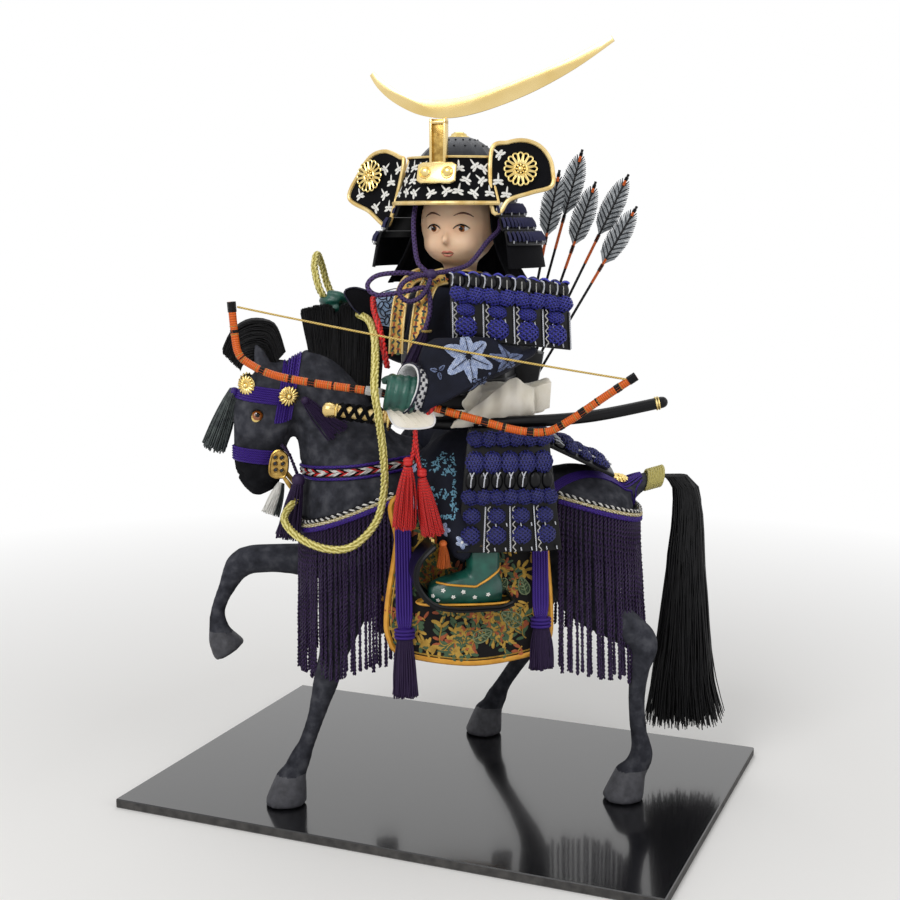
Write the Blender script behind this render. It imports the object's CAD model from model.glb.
import math
import random

import bmesh
import bpy
from mathutils import Matrix, Vector, noise
from mathutils.bvhtree import BVHTree


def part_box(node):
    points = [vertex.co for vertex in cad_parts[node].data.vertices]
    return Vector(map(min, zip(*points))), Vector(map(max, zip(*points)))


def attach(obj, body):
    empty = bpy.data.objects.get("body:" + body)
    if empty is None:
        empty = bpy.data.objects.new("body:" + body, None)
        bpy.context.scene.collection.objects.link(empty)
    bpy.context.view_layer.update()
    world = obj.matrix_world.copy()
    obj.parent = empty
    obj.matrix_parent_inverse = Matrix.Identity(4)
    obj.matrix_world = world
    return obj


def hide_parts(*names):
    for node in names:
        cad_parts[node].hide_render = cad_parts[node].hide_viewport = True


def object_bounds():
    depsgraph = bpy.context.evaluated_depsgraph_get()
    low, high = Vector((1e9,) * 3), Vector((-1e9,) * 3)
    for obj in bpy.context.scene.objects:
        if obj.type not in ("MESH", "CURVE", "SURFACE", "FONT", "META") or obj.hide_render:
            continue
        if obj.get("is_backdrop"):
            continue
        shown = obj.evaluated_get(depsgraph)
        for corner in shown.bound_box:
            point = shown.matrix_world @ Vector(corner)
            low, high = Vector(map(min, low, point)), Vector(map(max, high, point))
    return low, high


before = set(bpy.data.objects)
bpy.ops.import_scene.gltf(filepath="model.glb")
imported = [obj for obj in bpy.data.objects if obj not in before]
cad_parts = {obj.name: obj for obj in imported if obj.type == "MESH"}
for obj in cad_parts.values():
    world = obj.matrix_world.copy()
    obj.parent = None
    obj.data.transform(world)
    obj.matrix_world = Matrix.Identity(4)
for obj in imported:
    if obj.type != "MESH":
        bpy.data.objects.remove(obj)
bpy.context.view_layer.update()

random.seed(7)
mm = 0.001
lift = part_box("ground_board")[1].z + 0.4 * mm   # everything stands on the board, a fit gap above it


def at(x, y, z):   # a place given from the board's top
    return Vector((x, y, z + lift))


def ringAngles(count):   # evenly round a ring
    return [math.tau * k / count for k in range(count)]


def linear(code):   # sRGB hex to the linear values that sockets take
    parts = [int(code[i:i + 2], 16) / 255 for i in (0, 2, 4)]
    return tuple(p / 12.92 if p <= 0.04045 else ((p + 0.055) / 1.055) ** 2.4 for p in parts) + (1.0,)


def addNode(tree, kind, settings=None, links=None):
    node = tree.nodes.new(kind)
    for key, value in (settings or {}).items():
        if key == "stops":
            elements = node.color_ramp.elements
            while len(elements) < len(value):
                elements.new(0.5)
            for element, (place, code) in zip(elements, value):
                element.position = place
                element.color = linear(code)
        elif isinstance(key, int) or key in node.inputs:
            node.inputs[key].default_value = value
        else:
            setattr(node, key, value)
    for key, socket in (links or {}).items():
        if isinstance(socket, (int, float)):
            node.inputs[key].default_value = socket
        else:
            tree.links.new(socket, node.inputs[key])
    return node


def newMaterial(name, colour, roughness, metallic=0.0, **sockets):
    material = bpy.data.materials.new(name)
    material.use_nodes = True
    shader = material.node_tree.nodes["Principled BSDF"]
    shader.inputs["Base Color"].default_value = linear(colour)
    shader.inputs["Roughness"].default_value = roughness
    shader.inputs["Metallic"].default_value = metallic
    for key, value in sockets.items():
        shader.inputs[key.replace("_", " ")].default_value = value
    return material, material.node_tree, shader


# a surface whose colour wanders over spotMm, with a grain of grainMm in its relief and gloss
def grained(name, stops, roughness, spotMm, grainMm, grainDepth, metallic=0.0, roughSpread=0.08, **sockets):
    material, tree, shader = newMaterial(name, stops[0][1], roughness, metallic, **sockets)
    where = addNode(tree, "ShaderNodeTexCoord").outputs["Object"]
    fields = []
    for sizeMm, detail in ((spotMm, 4.0), (grainMm, 2.0)):
        mapped = addNode(tree, "ShaderNodeMapping", {"Scale": [1000 / sizeMm] * 3}, {"Vector": where})
        field = addNode(tree, "ShaderNodeTexNoise", {"Scale": 1.0, "Detail": detail},
                        {"Vector": mapped.outputs[0]})
        fields.append(field.outputs["Fac"])
    cloud, grain = fields
    ramp = addNode(tree, "ShaderNodeValToRGB", {"stops": stops}, {"Fac": cloud})
    tree.links.new(ramp.outputs["Color"], shader.inputs["Base Color"])
    gloss = addNode(tree, "ShaderNodeMapRange", {"To Min": max(0.02, roughness - roughSpread),
                                                 "To Max": min(1.0, roughness + roughSpread)},
                                                 {"Value": grain})
    tree.links.new(gloss.outputs[0], shader.inputs["Roughness"])
    bump = addNode(tree, "ShaderNodeBump", {"Strength": grainDepth, "Distance": grainMm * 0.4 * mm},
                   {"Height": grain})
    tree.links.new(bump.outputs["Normal"], shader.inputs["Normal"])
    return material


# yarns laid round a cord: turns along it and plies round it, crossing both ways where it is braided
def yarn(name, light, dark, turns, plies=2, braided=False, roughness=0.55, depth=0.8, radiusMm=1.0,
         **sockets):
    material, tree, shader = newMaterial(name, light, roughness, **sockets)
    uv = addNode(tree, "ShaderNodeSeparateXYZ", None, {0: addNode(tree, "ShaderNodeTexCoord").outputs["UV"]})
    along = addNode(tree, "ShaderNodeMath", {"operation": "MULTIPLY"},
                    {0: uv.outputs["X"], 1: turns * math.tau}).outputs[0]
    around = addNode(tree, "ShaderNodeMath", {"operation": "MULTIPLY"},
                     {0: uv.outputs["Y"], 1: plies * math.tau}).outputs[0]
    lay = addNode(tree, "ShaderNodeMath", {"operation": "ADD"}, {0: along, 1: around}).outputs[0]
    ridge = addNode(tree, "ShaderNodeMath", {"operation": "SINE"}, {0: lay}).outputs[0]
    if braided:
        back = addNode(tree, "ShaderNodeMath", {"operation": "SUBTRACT"}, {0: along, 1: around}).outputs[0]
        other = addNode(tree, "ShaderNodeMath", {"operation": "SINE"}, {0: back}).outputs[0]
        ridge = addNode(tree, "ShaderNodeMath", {"operation": "MAXIMUM"}, {0: ridge, 1: other}).outputs[0]
    height = addNode(tree, "ShaderNodeMath", {"operation": "MULTIPLY_ADD"},
                     {0: ridge, 1: 0.5, 2: 0.5}).outputs[0]
    ramp = addNode(tree, "ShaderNodeValToRGB", {"stops": [(0.15, dark), (0.75, light)]}, {"Fac": height})
    tree.links.new(ramp.outputs["Color"], shader.inputs["Base Color"])
    bump = addNode(tree, "ShaderNodeBump", {"Strength": depth, "Distance": radiusMm * 0.35 * mm},
                   {"Height": height})
    tree.links.new(bump.outputs["Normal"], shader.inputs["Normal"])
    return material


# plain weave: threads cross at threadMm, and the colour wanders a little
def woven(name, stops, threadMm, roughness=0.8, spotMm=12, depth=0.5, **sockets):
    material, tree, shader = newMaterial(name, stops[0][1], roughness, **sockets)
    where = addNode(tree, "ShaderNodeTexCoord").outputs["Object"]
    mapped = addNode(tree, "ShaderNodeMapping", {"Scale": [math.tau * 500 / threadMm] * 3,
            "Rotation": (0.2, 0.3, 0.1)}, {"Vector": where})
    axes = addNode(tree, "ShaderNodeSeparateXYZ", None, {0: mapped.outputs[0]})
    over = addNode(tree, "ShaderNodeMath", {"operation": "SINE"}, {0: axes.outputs["X"]}).outputs[0]
    under = addNode(tree, "ShaderNodeMath", {"operation": "SINE"}, {0: axes.outputs["Z"]}).outputs[0]
    crossing = addNode(tree, "ShaderNodeMath", {"operation": "MULTIPLY"}, {0: over, 1: under}).outputs[0]
    mapped = addNode(tree, "ShaderNodeMapping", {"Scale": [1000 / spotMm] * 3}, {"Vector": where})
    cloud = addNode(tree, "ShaderNodeTexNoise", {"Scale": 1.0, "Detail": 4.0},
                    {"Vector": mapped.outputs[0]}).outputs["Fac"]
    mixed = addNode(tree, "ShaderNodeMath", {"operation": "MULTIPLY_ADD"},
                    {0: crossing, 1: 0.12, 2: cloud}).outputs[0]
    ramp = addNode(tree, "ShaderNodeValToRGB", {"stops": stops}, {"Fac": mixed})
    tree.links.new(ramp.outputs["Color"], shader.inputs["Base Color"])
    bump = addNode(tree, "ShaderNodeBump", {"Strength": depth, "Distance": threadMm * 0.3 * mm},
                   {"Height": crossing})
    tree.links.new(bump.outputs["Normal"], shader.inputs["Normal"])
    return material


# sprayed and polished urethane lacquer: deep black, a mirror that is only slightly wavy
lacquerBlack = grained("sprayed_lacquer_black", [(0.3, "0b0b0d"), (0.7, "131316")], 0.16, 60, 1.2, 0.02,
                       roughSpread=0.05, Coat_Weight=0.5, Coat_Roughness=0.06)
# the same lacquer brushed thin on scales and scabbard: black with a soft gloss
lacquerMatt = grained("brushed_lacquer_black", [(0.3, "08080a"), (0.7, "111114")], 0.3, 20, 1.2, 0.05,
                      roughSpread=0.06, Specular_IOR_Level=0.2)
# the sawn edge of the same board: dull and grey
rawEdge = grained("sawn_board_edge", [(0.3, "2b2a2a"), (0.7, "4a4846")], 0.75, 6, 0.8, 0.4)
# nylon flock over moulded composite: charcoal, mottled, with a nap that never shines
hideGrey = grained("flocked_hide_charcoal", [(0.25, "25262b"), (0.5, "3a3b42"), (0.75, "54555b")], 0.92, 7,
                   0.7, 0.5, Specular_IOR_Level=0.1)
hoofHorn = grained("painted_hoof_grey", [(0.3, "303035"), (0.7, "48484e")], 0.6, 4, 0.9, 0.3)
# dyed natural bristle: near black with a soft streaky gloss
bristle = grained("dyed_bristle_black", [(0.3, "050506"), (0.7, "101013")], 0.45, 3, 0.5, 0.2,
                  Specular_IOR_Level=0.25)
greyTuft = grained("dyed_horsehair_grey_green", [(0.3, "20262a"), (0.7, "4a5250")], 0.6, 3, 0.5, 0.2)
# blown glass with a painted back: wet gloss
glassBrown = grained("blown_glass_brown", [(0.3, "7c3d10"), (0.7, "a05a1c")], 0.08, 1.5, 0.8, 0.0,
                     roughSpread=0.02, Coat_Weight=0.6)
paintGlint = grained("enamel_catchlight_white", [(0.3, "f6f8fa"), (0.7, "ffffff")], 0.12, 0.5, 0.4, 0.0,
                     roughSpread=0.04)
glassBlack = grained("blown_glass_black", [(0.3, "040404"), (0.7, "0b0908")], 0.08, 1.5, 0.8, 0.0,
                     roughSpread=0.03, Specular_IOR_Level=0.3)
eyeWhite = grained("glazed_eye_white", [(0.3, "ece4da"), (0.7, "f6f1ea")], 0.2, 2.5, 1.0, 0.0,
                   roughSpread=0.05)
# braided and twisted silks: dyed yarns that cross or wind, with a faint sheen
purpleBraid = yarn("braided_silk_purple", "3f2288", "140a38", 60, 3, True, 0.5, radiusMm=0.8,
                   Specular_IOR_Level=0.3)
purpleDark = yarn("twisted_silk_dark_purple", "36224c", "120820", 34, 2, False, 0.55, radiusMm=1.0,
                  Specular_IOR_Level=0.3)
chinBraid = yarn("braided_silk_aubergine", "4a3668", "0c0716", 64, 3, True, 0.5, radiusMm=1.4,
                 Specular_IOR_Level=0.3)
navyHip = yarn("braided_silk_navy_hip", "2d3088", "0c0d30", 9, 2, False, 0.5, 0.8, radiusMm=0.9)
navyPad = yarn("braided_silk_navy_pad", "3a3cb0", "0e0f3a", 9, 2, False, 0.5, 0.8, radiusMm=0.9)
navyDark = yarn("braided_silk_navy_ground", "0d0e30", "06061a", 9, 2, False, 0.6, 0.8, radiusMm=0.9)
navyDeep = yarn("braided_silk_navy_shaded", "1b1c54", "090a22", 9, 2, False, 0.6, 0.8, radiusMm=0.9)
silverThread = yarn("spun_silver_thread", "e6e8ee", "9a9ca6", 24, 2, False, 0.35, 0.5, radiusMm=0.4)
whiteCord = yarn("twisted_cotton_white", "eceae4", "a9a7a6", 40, 2, False, 0.7, radiusMm=0.8)
creamCord = yarn("twisted_cotton_cream", "e9dfc0", "a8965f", 60, 2, False, 0.7, radiusMm=1.2)
goldRope = yarn("twisted_rayon_gold", "eadf92", "a3963f", 120, 3, False, 0.42, 0.5, radiusMm=1.4,
                Specular_IOR_Level=0.3)
goldString = yarn("wound_gold_string", "e6c86e", "9c7a2c", 160, 2, False, 0.38, radiusMm=0.6)
redSilk = yarn("floss_silk_red", "e0201c", "8e0c0c", 20, 2, False, 0.5, radiusMm=0.8)
orangeCord = yarn("twisted_silk_orange", "ee7a2a", "a8430f", 80, 2, False, 0.5, radiusMm=0.8)
# gilt copper sheet and castings: pale gold, faintly brushed or softly cast
giltSheet = grained("satin_gilt_sheet", [(0.3, "dcbf7c"), (0.7, "ecd59c")], 0.26, 30, 0.6, 0.03, 1.0, 0.06)
giltAged = grained("cast_gilt_brass_aged", [(0.3, "8a6a35"), (0.7, "c9a75e")], 0.3, 3, 0.8, 0.2, 1.0)
giltCast = grained("cast_gilt_brass", [(0.3, "dcbc6c"), (0.7, "f0dc9c")], 0.2, 5, 0.8, 0.12, 1.0)
goldPiping = grained("rolled_gilt_leather_piping", [(0.3, "d4b064"), (0.7, "efd89c")], 0.3, 8, 1.2, 0.1,
                     0.35)
orangePiping = grained("rolled_amber_leather_piping", [(0.3, "c98a25"), (0.7, "e9ab3f")], 0.34, 8, 1.2, 0.1,
                       0.15)
# cotton and rayon cloths: visible weave, matt, pieces differ in ground and thread
clothBlack = woven("woven_cotton_black", [(0.2, "060608"), (0.8, "111115")], 0.5, 0.9,
                   Specular_IOR_Level=0.12)
clothNavy = woven("woven_rayon_navy_black", [(0.2, "0f1018"), (0.6, "191b27"), (0.9, "232636")], 0.55, 0.75,
                  Specular_IOR_Level=0.15)
clothWhite = woven("woven_silk_white", [(0.2, "dcdce4"), (0.8, "f6f5f2")], 0.6, 0.7, Specular_IOR_Level=0.3)
clothIvory = woven("woven_silk_ivory", [(0.2, "f0e8d4"), (0.8, "fffaf0")], 0.6, 0.7, Specular_IOR_Level=0.3)
brocadeBlack = woven("brocade_ground_black", [(0.2, "0a090a"), (0.8, "171415")], 0.6, 0.7,
                     Specular_IOR_Level=0.2)
stitchWhite = woven("embroidery_white", [(0.2, "e2e0da"), (0.8, "fbfaf5")], 0.5, 0.5, depth=0.8)
weftBlue = woven("brocade_weft_pale_blue", [(0.2, "6a7ba6"), (0.5, "9aa9cc"), (0.85, "d3dbec")], 0.8, 0.5,
                 2.2, 1.0)
weftDim = woven("brocade_weft_slate_blue", [(0.2, "333a55"), (0.5, "5d6a8e"), (0.85, "8c9abd")], 0.8, 0.55,
                2.2, 1.0)
weftSage = woven("brocade_weft_sage", [(0.2, "6c7d58"), (0.8, "a3b088")], 0.8, 0.55, 2.2, 1.0)
weftMoss = woven("brocade_weft_moss", [(0.2, "1c2a1c"), (0.5, "3c5338"), (0.85, "6d8058")], 0.8, 0.55, 2.2,
                 1.0)
weftCyan = woven("brocade_weft_cyan", [(0.2, "3d7391"), (0.8, "86bcd2")], 0.7, 0.5, 2.2, 1.0)
weftPale = woven("brocade_weft_sky", [(0.2, "7f9fc8"), (0.8, "b4cbe6")], 0.7, 0.55, 5, 0.8)
weftGold = woven("brocade_weft_gold", [(0.2, "9a7526"), (0.7, "d3a948")], 0.5, 0.45, 4, 0.9, Metallic=0.25)
weftGreen = woven("brocade_weft_green", [(0.2, "27442f"), (0.8, "53714a")], 0.5, 0.5, 4, 0.9)
weftRust = woven("brocade_weft_rust", [(0.2, "8b3a1c"), (0.8, "c4683a")], 0.5, 0.5, 4, 0.9)
# goose feather: matt barbs, grey barred with black
barbGrey = grained("dyed_feather_grey", [(0.3, "868b90"), (0.7, "b4b8bb")], 0.75, 4, 0.5, 0.4)
barbBlack = grained("dyed_feather_black", [(0.3, "23262a"), (0.7, "3c4045")], 0.75, 4, 0.5, 0.4)
# dyed glove leather: fine grain, satin
leatherGreen = grained("dyed_leather_green", [(0.3, "0e3a33"), (0.7, "1a5a4c")], 0.36, 8, 0.9, 0.25)
leatherGold = grained("gilded_leather", [(0.3, "b98b3a"), (0.7, "dcb45e")], 0.4, 6, 0.9, 0.2, 0.35)
# painted vinyl: matt flesh with a little light inside it
skin = grained("painted_vinyl_skin", [(0.3, "ffcfa8"), (0.7, "ffdab8")], 0.46, 14, 0.8, 0.03,
               Subsurface_Weight=0.12, Subsurface_Scale=0.004)
skin.node_tree.nodes["Principled BSDF"].inputs["Subsurface Radius"].default_value = (1.0, 0.45, 0.25)
browPaint = grained("brushed_paint_brown", [(0.3, "5c3b2a"), (0.7, "785140")], 0.6, 1.2, 0.5, 0.05)
lipPaint = grained("brushed_paint_rose", [(0.3, "c0614f"), (0.7, "d27e6a")], 0.4, 1.2, 0.5, 0.05)
# lacquer over rattan binding: fine rings under the gloss
rattan = yarn("lacquered_rattan_orange", "e0640f", "b44a06", 230, 0, False, 0.34, 0.35, radiusMm=1.4,
              Specular_IOR_Level=0.35)
rattanBlack = yarn("lacquered_rattan_black", "141316", "060607", 60, 0, False, 0.4, 0.35, radiusMm=1.4,
                   Specular_IOR_Level=0.15)
# russet iron plate: dark, slightly pitted
ironDark = grained("russet_iron_dark", [(0.3, "1f2126"), (0.7, "34373e")], 0.4, 10, 0.9, 0.15, 0.5)


# puts a mesh in the scene as a piece of the doll
def piece(name, mesh, materials, replaced=(), sharp=40):
    thing = bpy.data.objects.new(name, mesh)
    bpy.context.scene.collection.objects.link(thing)
    for material in (materials if isinstance(materials, (list, tuple)) else [materials]):
        mesh.materials.append(material)
    mesh.shade_smooth()
    if sharp:
        mesh.set_sharp_from_angle(angle=math.radians(sharp))
    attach(thing, "root")
    if replaced:
        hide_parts(*replaced)
    return thing


def meshFrom(bm, name="shape"):
    mesh = bpy.data.meshes.new(name)
    bm.to_mesh(mesh)
    bm.free()
    return mesh


def modified(source, *modifiers):   # a mesh or curve after modifiers given as (kind, settings)
    holder = bpy.data.objects.new("holder", source)
    bpy.context.scene.collection.objects.link(holder)
    for kind, settings in modifiers:
        modifier = holder.modifiers.new(kind.lower(), kind)
        for key, value in settings.items():
            setattr(modifier, key, value)
    bpy.context.view_layer.update()
    mesh = bpy.data.meshes.new_from_object(holder.evaluated_get(bpy.context.evaluated_depsgraph_get()))
    bpy.data.objects.remove(holder)
    return mesh


def smoothLine(points, step):   # points about step apart on a smooth curve through the given ones
    last = len(points) - 1
    points = [Vector(p) for p in points]
    line = []
    for i in range(last):
        a, b, c, d = (points[max(0, min(last, i + k))] for k in (-1, 0, 1, 2))
        count = max(1, round((c - b).length / step))
        for n in range(count):
            t = n / count
            line.append(0.5 * (2 * b + (c - a) * t + (2 * a - 5 * b + 4 * c - d) * t * t
                               + (3 * b - a - 3 * c + d) * t ** 3))
    line.append(points[last])
    return line


# round cords along lines; taper(t) scales the radius, with t from 0 to 1
def cordMesh(lines, radius, fine=0, taper=None, closed=False):
    curve = bpy.data.curves.new("cords", "CURVE")
    curve.dimensions = "3D"
    curve.bevel_depth = 1.0
    curve.bevel_resolution = fine
    curve.use_fill_caps = not closed
    for k, line in enumerate(lines):
        spline = curve.splines.new("POLY")
        spline.points.add(len(line) - 1)
        spline.use_cyclic_u = closed
        thick = radius[k] if isinstance(radius, list) else radius
        for i, (knot, place) in enumerate(zip(spline.points, line)):
            knot.co = (*place, 1)
            knot.radius = thick * (taper(i / (len(line) - 1)) if taper else 1)
    mesh = modified(curve)
    bpy.data.curves.remove(curve)
    return mesh


# the plies of a rope as lines that wind round its middle
def twisted(line, radius, pitch, plies, left=False, normals=None):
    turn, result, last, side = 0.0, [[] for _ in range(plies)], None, None
    for i, place in enumerate(line):
        tangent = (line[min(i + 1, len(line) - 1)] - line[max(i - 1, 0)]).normalized()
        side = tangent.orthogonal() if side is None else side
        side = (side - tangent * side.dot(tangent)).normalized()
        up = tangent.cross(side)
        if last is not None:
            turn += (place - last).length / pitch * math.tau * (-1 if left else 1)
        last = place
        for k in range(plies):
            angle = turn + math.tau * k / plies
            result[k].append(place + (side * math.cos(angle) + up * math.sin(angle)) * radius)
    return result


# a flat plait: strands that swing from edge to edge and pass over one another
def plaited(line, normals, half, swing, pitch, strands=3):
    result, travelled, last = [[] for _ in range(strands)], 0.0, None
    for i, place in enumerate(line):
        travelled += (place - last).length if last is not None else 0
        last = place
        tangent = (line[min(i + 1, len(line) - 1)] - line[max(i - 1, 0)]).normalized()
        side = normals[i].cross(tangent).normalized()
        for k in range(strands):
            phase = travelled / pitch * math.tau + math.tau * k / strands
            result[k].append(place + side * half * math.sin(phase) + normals[i] * swing
                             * math.sin(2 * phase))
    return result


# one mesh from (mesh, material index) pairs, keeping their UVs; None keeps a mesh's own indices
def joinMeshes(*parts):
    bm = bmesh.new()
    for mesh, index in parts:
        start = len(bm.faces)
        bm.from_mesh(mesh)
        bm.faces.ensure_lookup_table()
        for face in bm.faces[start:]:
            face.material_index = face.material_index if index is None else index
        bpy.data.meshes.remove(mesh)
    return meshFrom(bm)


def surfaceOf(mesh):
    bm = bmesh.new()
    bm.from_mesh(mesh)
    tree = BVHTree.FromBMesh(bm)
    bm.free()
    return tree


def cadMesh(*nodes):   # the merged solids of CAD nodes, as a new mesh
    bm = bmesh.new()
    for node in nodes:
        bm.from_mesh(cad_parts[node].data)
    bmesh.ops.remove_doubles(bm, verts=bm.verts, dist=1e-6)
    return meshFrom(bm)


def softened(mesh, voxel, rounds=6, factor=0.5):   # the same form with its facets melted away
    return modified(mesh, ("REMESH", {"mode": "VOXEL", "voxel_size": voxel}),
                    ("SMOOTH", {"iterations": rounds, "factor": factor}))


def pressed(mesh, dabs):   # moves the surface as a thumb would: place, reach and how far along the normal
    moved = []
    for vert in mesh.vertices:
        push = 0.0
        for place, reach, amount in dabs:
            near = 1 - (vert.co - place).length / reach
            if near > 0:
                push += amount * near * near * (3 - 2 * near)
        if push:
            moved.append((vert, vert.normal * push))
    for vert, move in moved:
        vert.co += move
    return mesh


def creased(mesh, depth, size, along, seed=0.0):   # long soft folds that run along a direction
    along = Vector(along).normalized()
    moves = [vert.normal * depth * noise.noise((vert.co - along * vert.co.dot(along) * 0.8) / size
            + Vector((seed, seed, seed)))
             for vert in mesh.vertices]
    for vert, move in zip(mesh.vertices, moves):
        vert.co += move
    return mesh


def laidOn(tree, place, height):   # the nearest place on a surface, raised, and the normal there
    hit, normal, _, _ = tree.find_nearest(place)
    return hit + normal * height, normal


# points on a surface where rays from a centre meet it, in the plane across an axis
def ringOn(tree, centre, axis, start, end, steps, height, zero=(0, 0, 1)):
    axis = Vector(axis).normalized()
    zero = (Vector(zero) - axis * Vector(zero).dot(axis)).normalized()
    side = axis.cross(zero)
    ring = []
    for i in range(steps + 1):
        angle = math.radians(start + (end - start) * i / steps)
        out = zero * math.cos(angle) + side * math.sin(angle)
        hit, normal, _, _ = tree.ray_cast(centre, out)
        if hit is not None:
            ring.append(hit + out * height)
    return ring


# an oval of stitching laid on a surface, its middle raised
def petalOn(bm, tree, centre, along, out, length, width, height, dome, index=0, segments=10):
    along = (along - out * along.dot(out)).normalized()
    basis = Matrix((along, out.cross(along), out)).transposed().to_4x4()
    place = Matrix.Translation(centre) @ basis @ Matrix.Diagonal((length / 2, width / 2, 1, 1))
    made = bmesh.ops.create_circle(bm, cap_ends=True, cap_tris=True, segments=segments, radius=1,
                                   matrix=place)["verts"]
    for vert in made:
        middle = len(vert.link_edges) > 3
        vert.co = laidOn(tree, vert.co, height + (dome if middle else 0))[0]
    for face in {f for v in made for f in v.link_faces}:
        face.material_index = index
        if face.normal.dot(out) < 0:
            face.normal_flip()


# a flower of petals on a surface, with a small heart
def flowerOn(bm, tree, centre, out, size, petals, turn, height=0.25 * mm, index=0, heart=None):
    start = out.orthogonal().normalized()
    for k in range(petals):
        along = Matrix.Rotation(turn + math.tau * k / petals, 3, out) @ start
        petalOn(bm, tree, centre + along * size * 0.3, along, out, size * 0.5, size * 0.36, height,
                0.35 * mm, index)
    if heart is not None:
        petalOn(bm, tree, centre, start, out, size * 0.2, size * 0.2, height + 0.3 * mm, 0.3 * mm, heart, 8)


# threads that hang from a knot and splay towards their ends
def tasselLines(top, down, length, spread, threads, flat=1.0, neck=0.32):
    down = Vector(down).normalized()
    side = down.cross(Vector((0, 1, 0)) if abs(down.y) < 0.9 else Vector((1, 0, 0))).normalized()
    other = down.cross(side)
    lines = []
    for k in range(threads):
        reach, angle = math.sqrt((k + 0.5) / threads), k * 2.39996
        out = side * math.cos(angle) + other * math.sin(angle) * flat
        end = length * random.uniform(0.93, 1.03)
        bow = random.uniform(-0.18, 0.18) * spread
        lines.append([Vector(top) + down * end * t + out * (spread * reach * (neck + (1 - neck) * t ** 0.8)
                + bow * math.sin(t * math.pi))
                      for t in (0, 0.2, 0.4, 0.6, 0.8, 1)])
    return lines


# a flat outline in its own X and Z, given its thickness in Y and rounded edges
def sheetFrom(outline, thickness, edge=0.3 * mm, place=None, smoothStep=None):
    ring = [Vector((x, 0, z)) for x, z in outline]
    if smoothStep:
        ring = closedLine(ring, smoothStep)
    bm = bmesh.new()
    face = bm.faces.new([bm.verts.new(p + Vector((0, -thickness / 2, 0))) for p in ring])
    made = bmesh.ops.extrude_face_region(bm, geom=[face])["geom"]
    bmesh.ops.translate(bm, vec=(0, thickness, 0),
                        verts=[g for g in made if isinstance(g, bmesh.types.BMVert)])
    bmesh.ops.recalc_face_normals(bm, faces=bm.faces)
    if edge:
        rims = [e for e in bm.edges if abs(e.verts[0].co.y - e.verts[1].co.y) < 1e-7]
        bmesh.ops.bevel(bm, geom=rims, offset=edge, segments=2, profile=0.5, affect="EDGES", material=-1)
    if place:
        bmesh.ops.transform(bm, matrix=place, verts=bm.verts)
    return meshFrom(bm)


def closedLine(ring, step):   # a smooth closed line through the given points
    wrapped = [ring[-1], *ring, ring[0], ring[1]]
    line = smoothLine(wrapped, step)
    first = min(range(len(line)), key=lambda i: (line[i] - ring[0]).length)
    last = max(i for i in range(len(line)) if (line[i] - ring[0]).length < 1e-9)
    return line[first:last]


def ballMesh(places, radii, segments=10, rings=6):
    bm = bmesh.new()
    for place in places:
        bmesh.ops.create_uvsphere(bm, u_segments=segments, v_segments=rings, radius=1,
                                  matrix=(place if isinstance(place, Matrix)
                                          else Matrix.Translation(place)) @ Matrix.Diagonal((*radii, 1)))
    return meshFrom(bm)


print("tools and materials ready")


# the floor, the light and the camera
studio = {"floor": "f2f1ef", "lightLevel": 0.5, "keyWatts": 8.5, "fillWatts": 2.6,
          "eye": (-0.1175, -0.9144, 0.3707), "down": 8.975, "turn": -7.33, "lens": 57.54}
scene = bpy.context.scene
scene.view_settings.view_transform = "Standard"

bpy.ops.mesh.primitive_plane_add(size=8)
floor = bpy.context.object
floor.name = "studio_floor"
floorPaint = bpy.data.materials.new("matt_paint_white")
floorPaint.use_nodes = True
tree = floorPaint.node_tree
tree.nodes.clear()
out = addNode(tree, "ShaderNodeOutputMaterial")
matt = addNode(tree, "ShaderNodeBsdfDiffuse", {"Color": linear(studio["floor"])})
glow = addNode(tree, "ShaderNodeEmission", {"Color": (1, 1, 1, 1), "Strength": 1.0})
where = addNode(tree, "ShaderNodeTexCoord").outputs["Object"]
away = addNode(tree, "ShaderNodeVectorMath", {"operation": "LENGTH"}, {0: where}).outputs["Value"]
far = addNode(tree, "ShaderNodeMapRange", {"From Min": 0.28, "From Max": 0.95}, {"Value": away}).outputs[0]
path = addNode(tree, "ShaderNodeLightPath")
seen = addNode(tree, "ShaderNodeMath", {"operation": "MAXIMUM"}, {0: path.outputs["Is Camera Ray"],
        1: path.outputs["Is Glossy Ray"]}).outputs[0]
seen = addNode(tree, "ShaderNodeMath", {"operation": "MAXIMUM"},
               {0: seen, 1: path.outputs["Is Transmission Ray"]}).outputs[0]
share = addNode(tree, "ShaderNodeMath", {"operation": "MULTIPLY"}, {0: seen, 1: far}).outputs[0]
mixed = addNode(tree, "ShaderNodeMixShader", None, {0: share, 1: matt.outputs[0], 2: glow.outputs[0]})
tree.links.new(mixed.outputs[0], out.inputs["Surface"])
floor.data.materials.append(floorPaint)
floor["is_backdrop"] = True

world = bpy.data.worlds.new("studio")
scene.world = world
world.use_nodes = True
tree = world.node_tree
tree.nodes.clear()
out = addNode(tree, "ShaderNodeOutputWorld")
path = addNode(tree, "ShaderNodeLightPath")
seen = addNode(tree, "ShaderNodeMath", {"operation": "MAXIMUM"}, {0: path.outputs["Is Camera Ray"],
        1: path.outputs["Is Transmission Ray"]}).outputs[0]
seen = addNode(tree, "ShaderNodeMath", {"operation": "MAXIMUM"},
               {0: seen, 1: path.outputs["Is Glossy Ray"]}).outputs[0]
level = addNode(tree, "ShaderNodeMapRange", {"To Min": studio["lightLevel"], "To Max": 1.0},
                {"Value": seen}).outputs[0]
sky = addNode(tree, "ShaderNodeBackground", {"Color": (1, 1, 1, 1)}, {"Strength": level})
tree.links.new(sky.outputs[0], out.inputs["Surface"])

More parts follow.
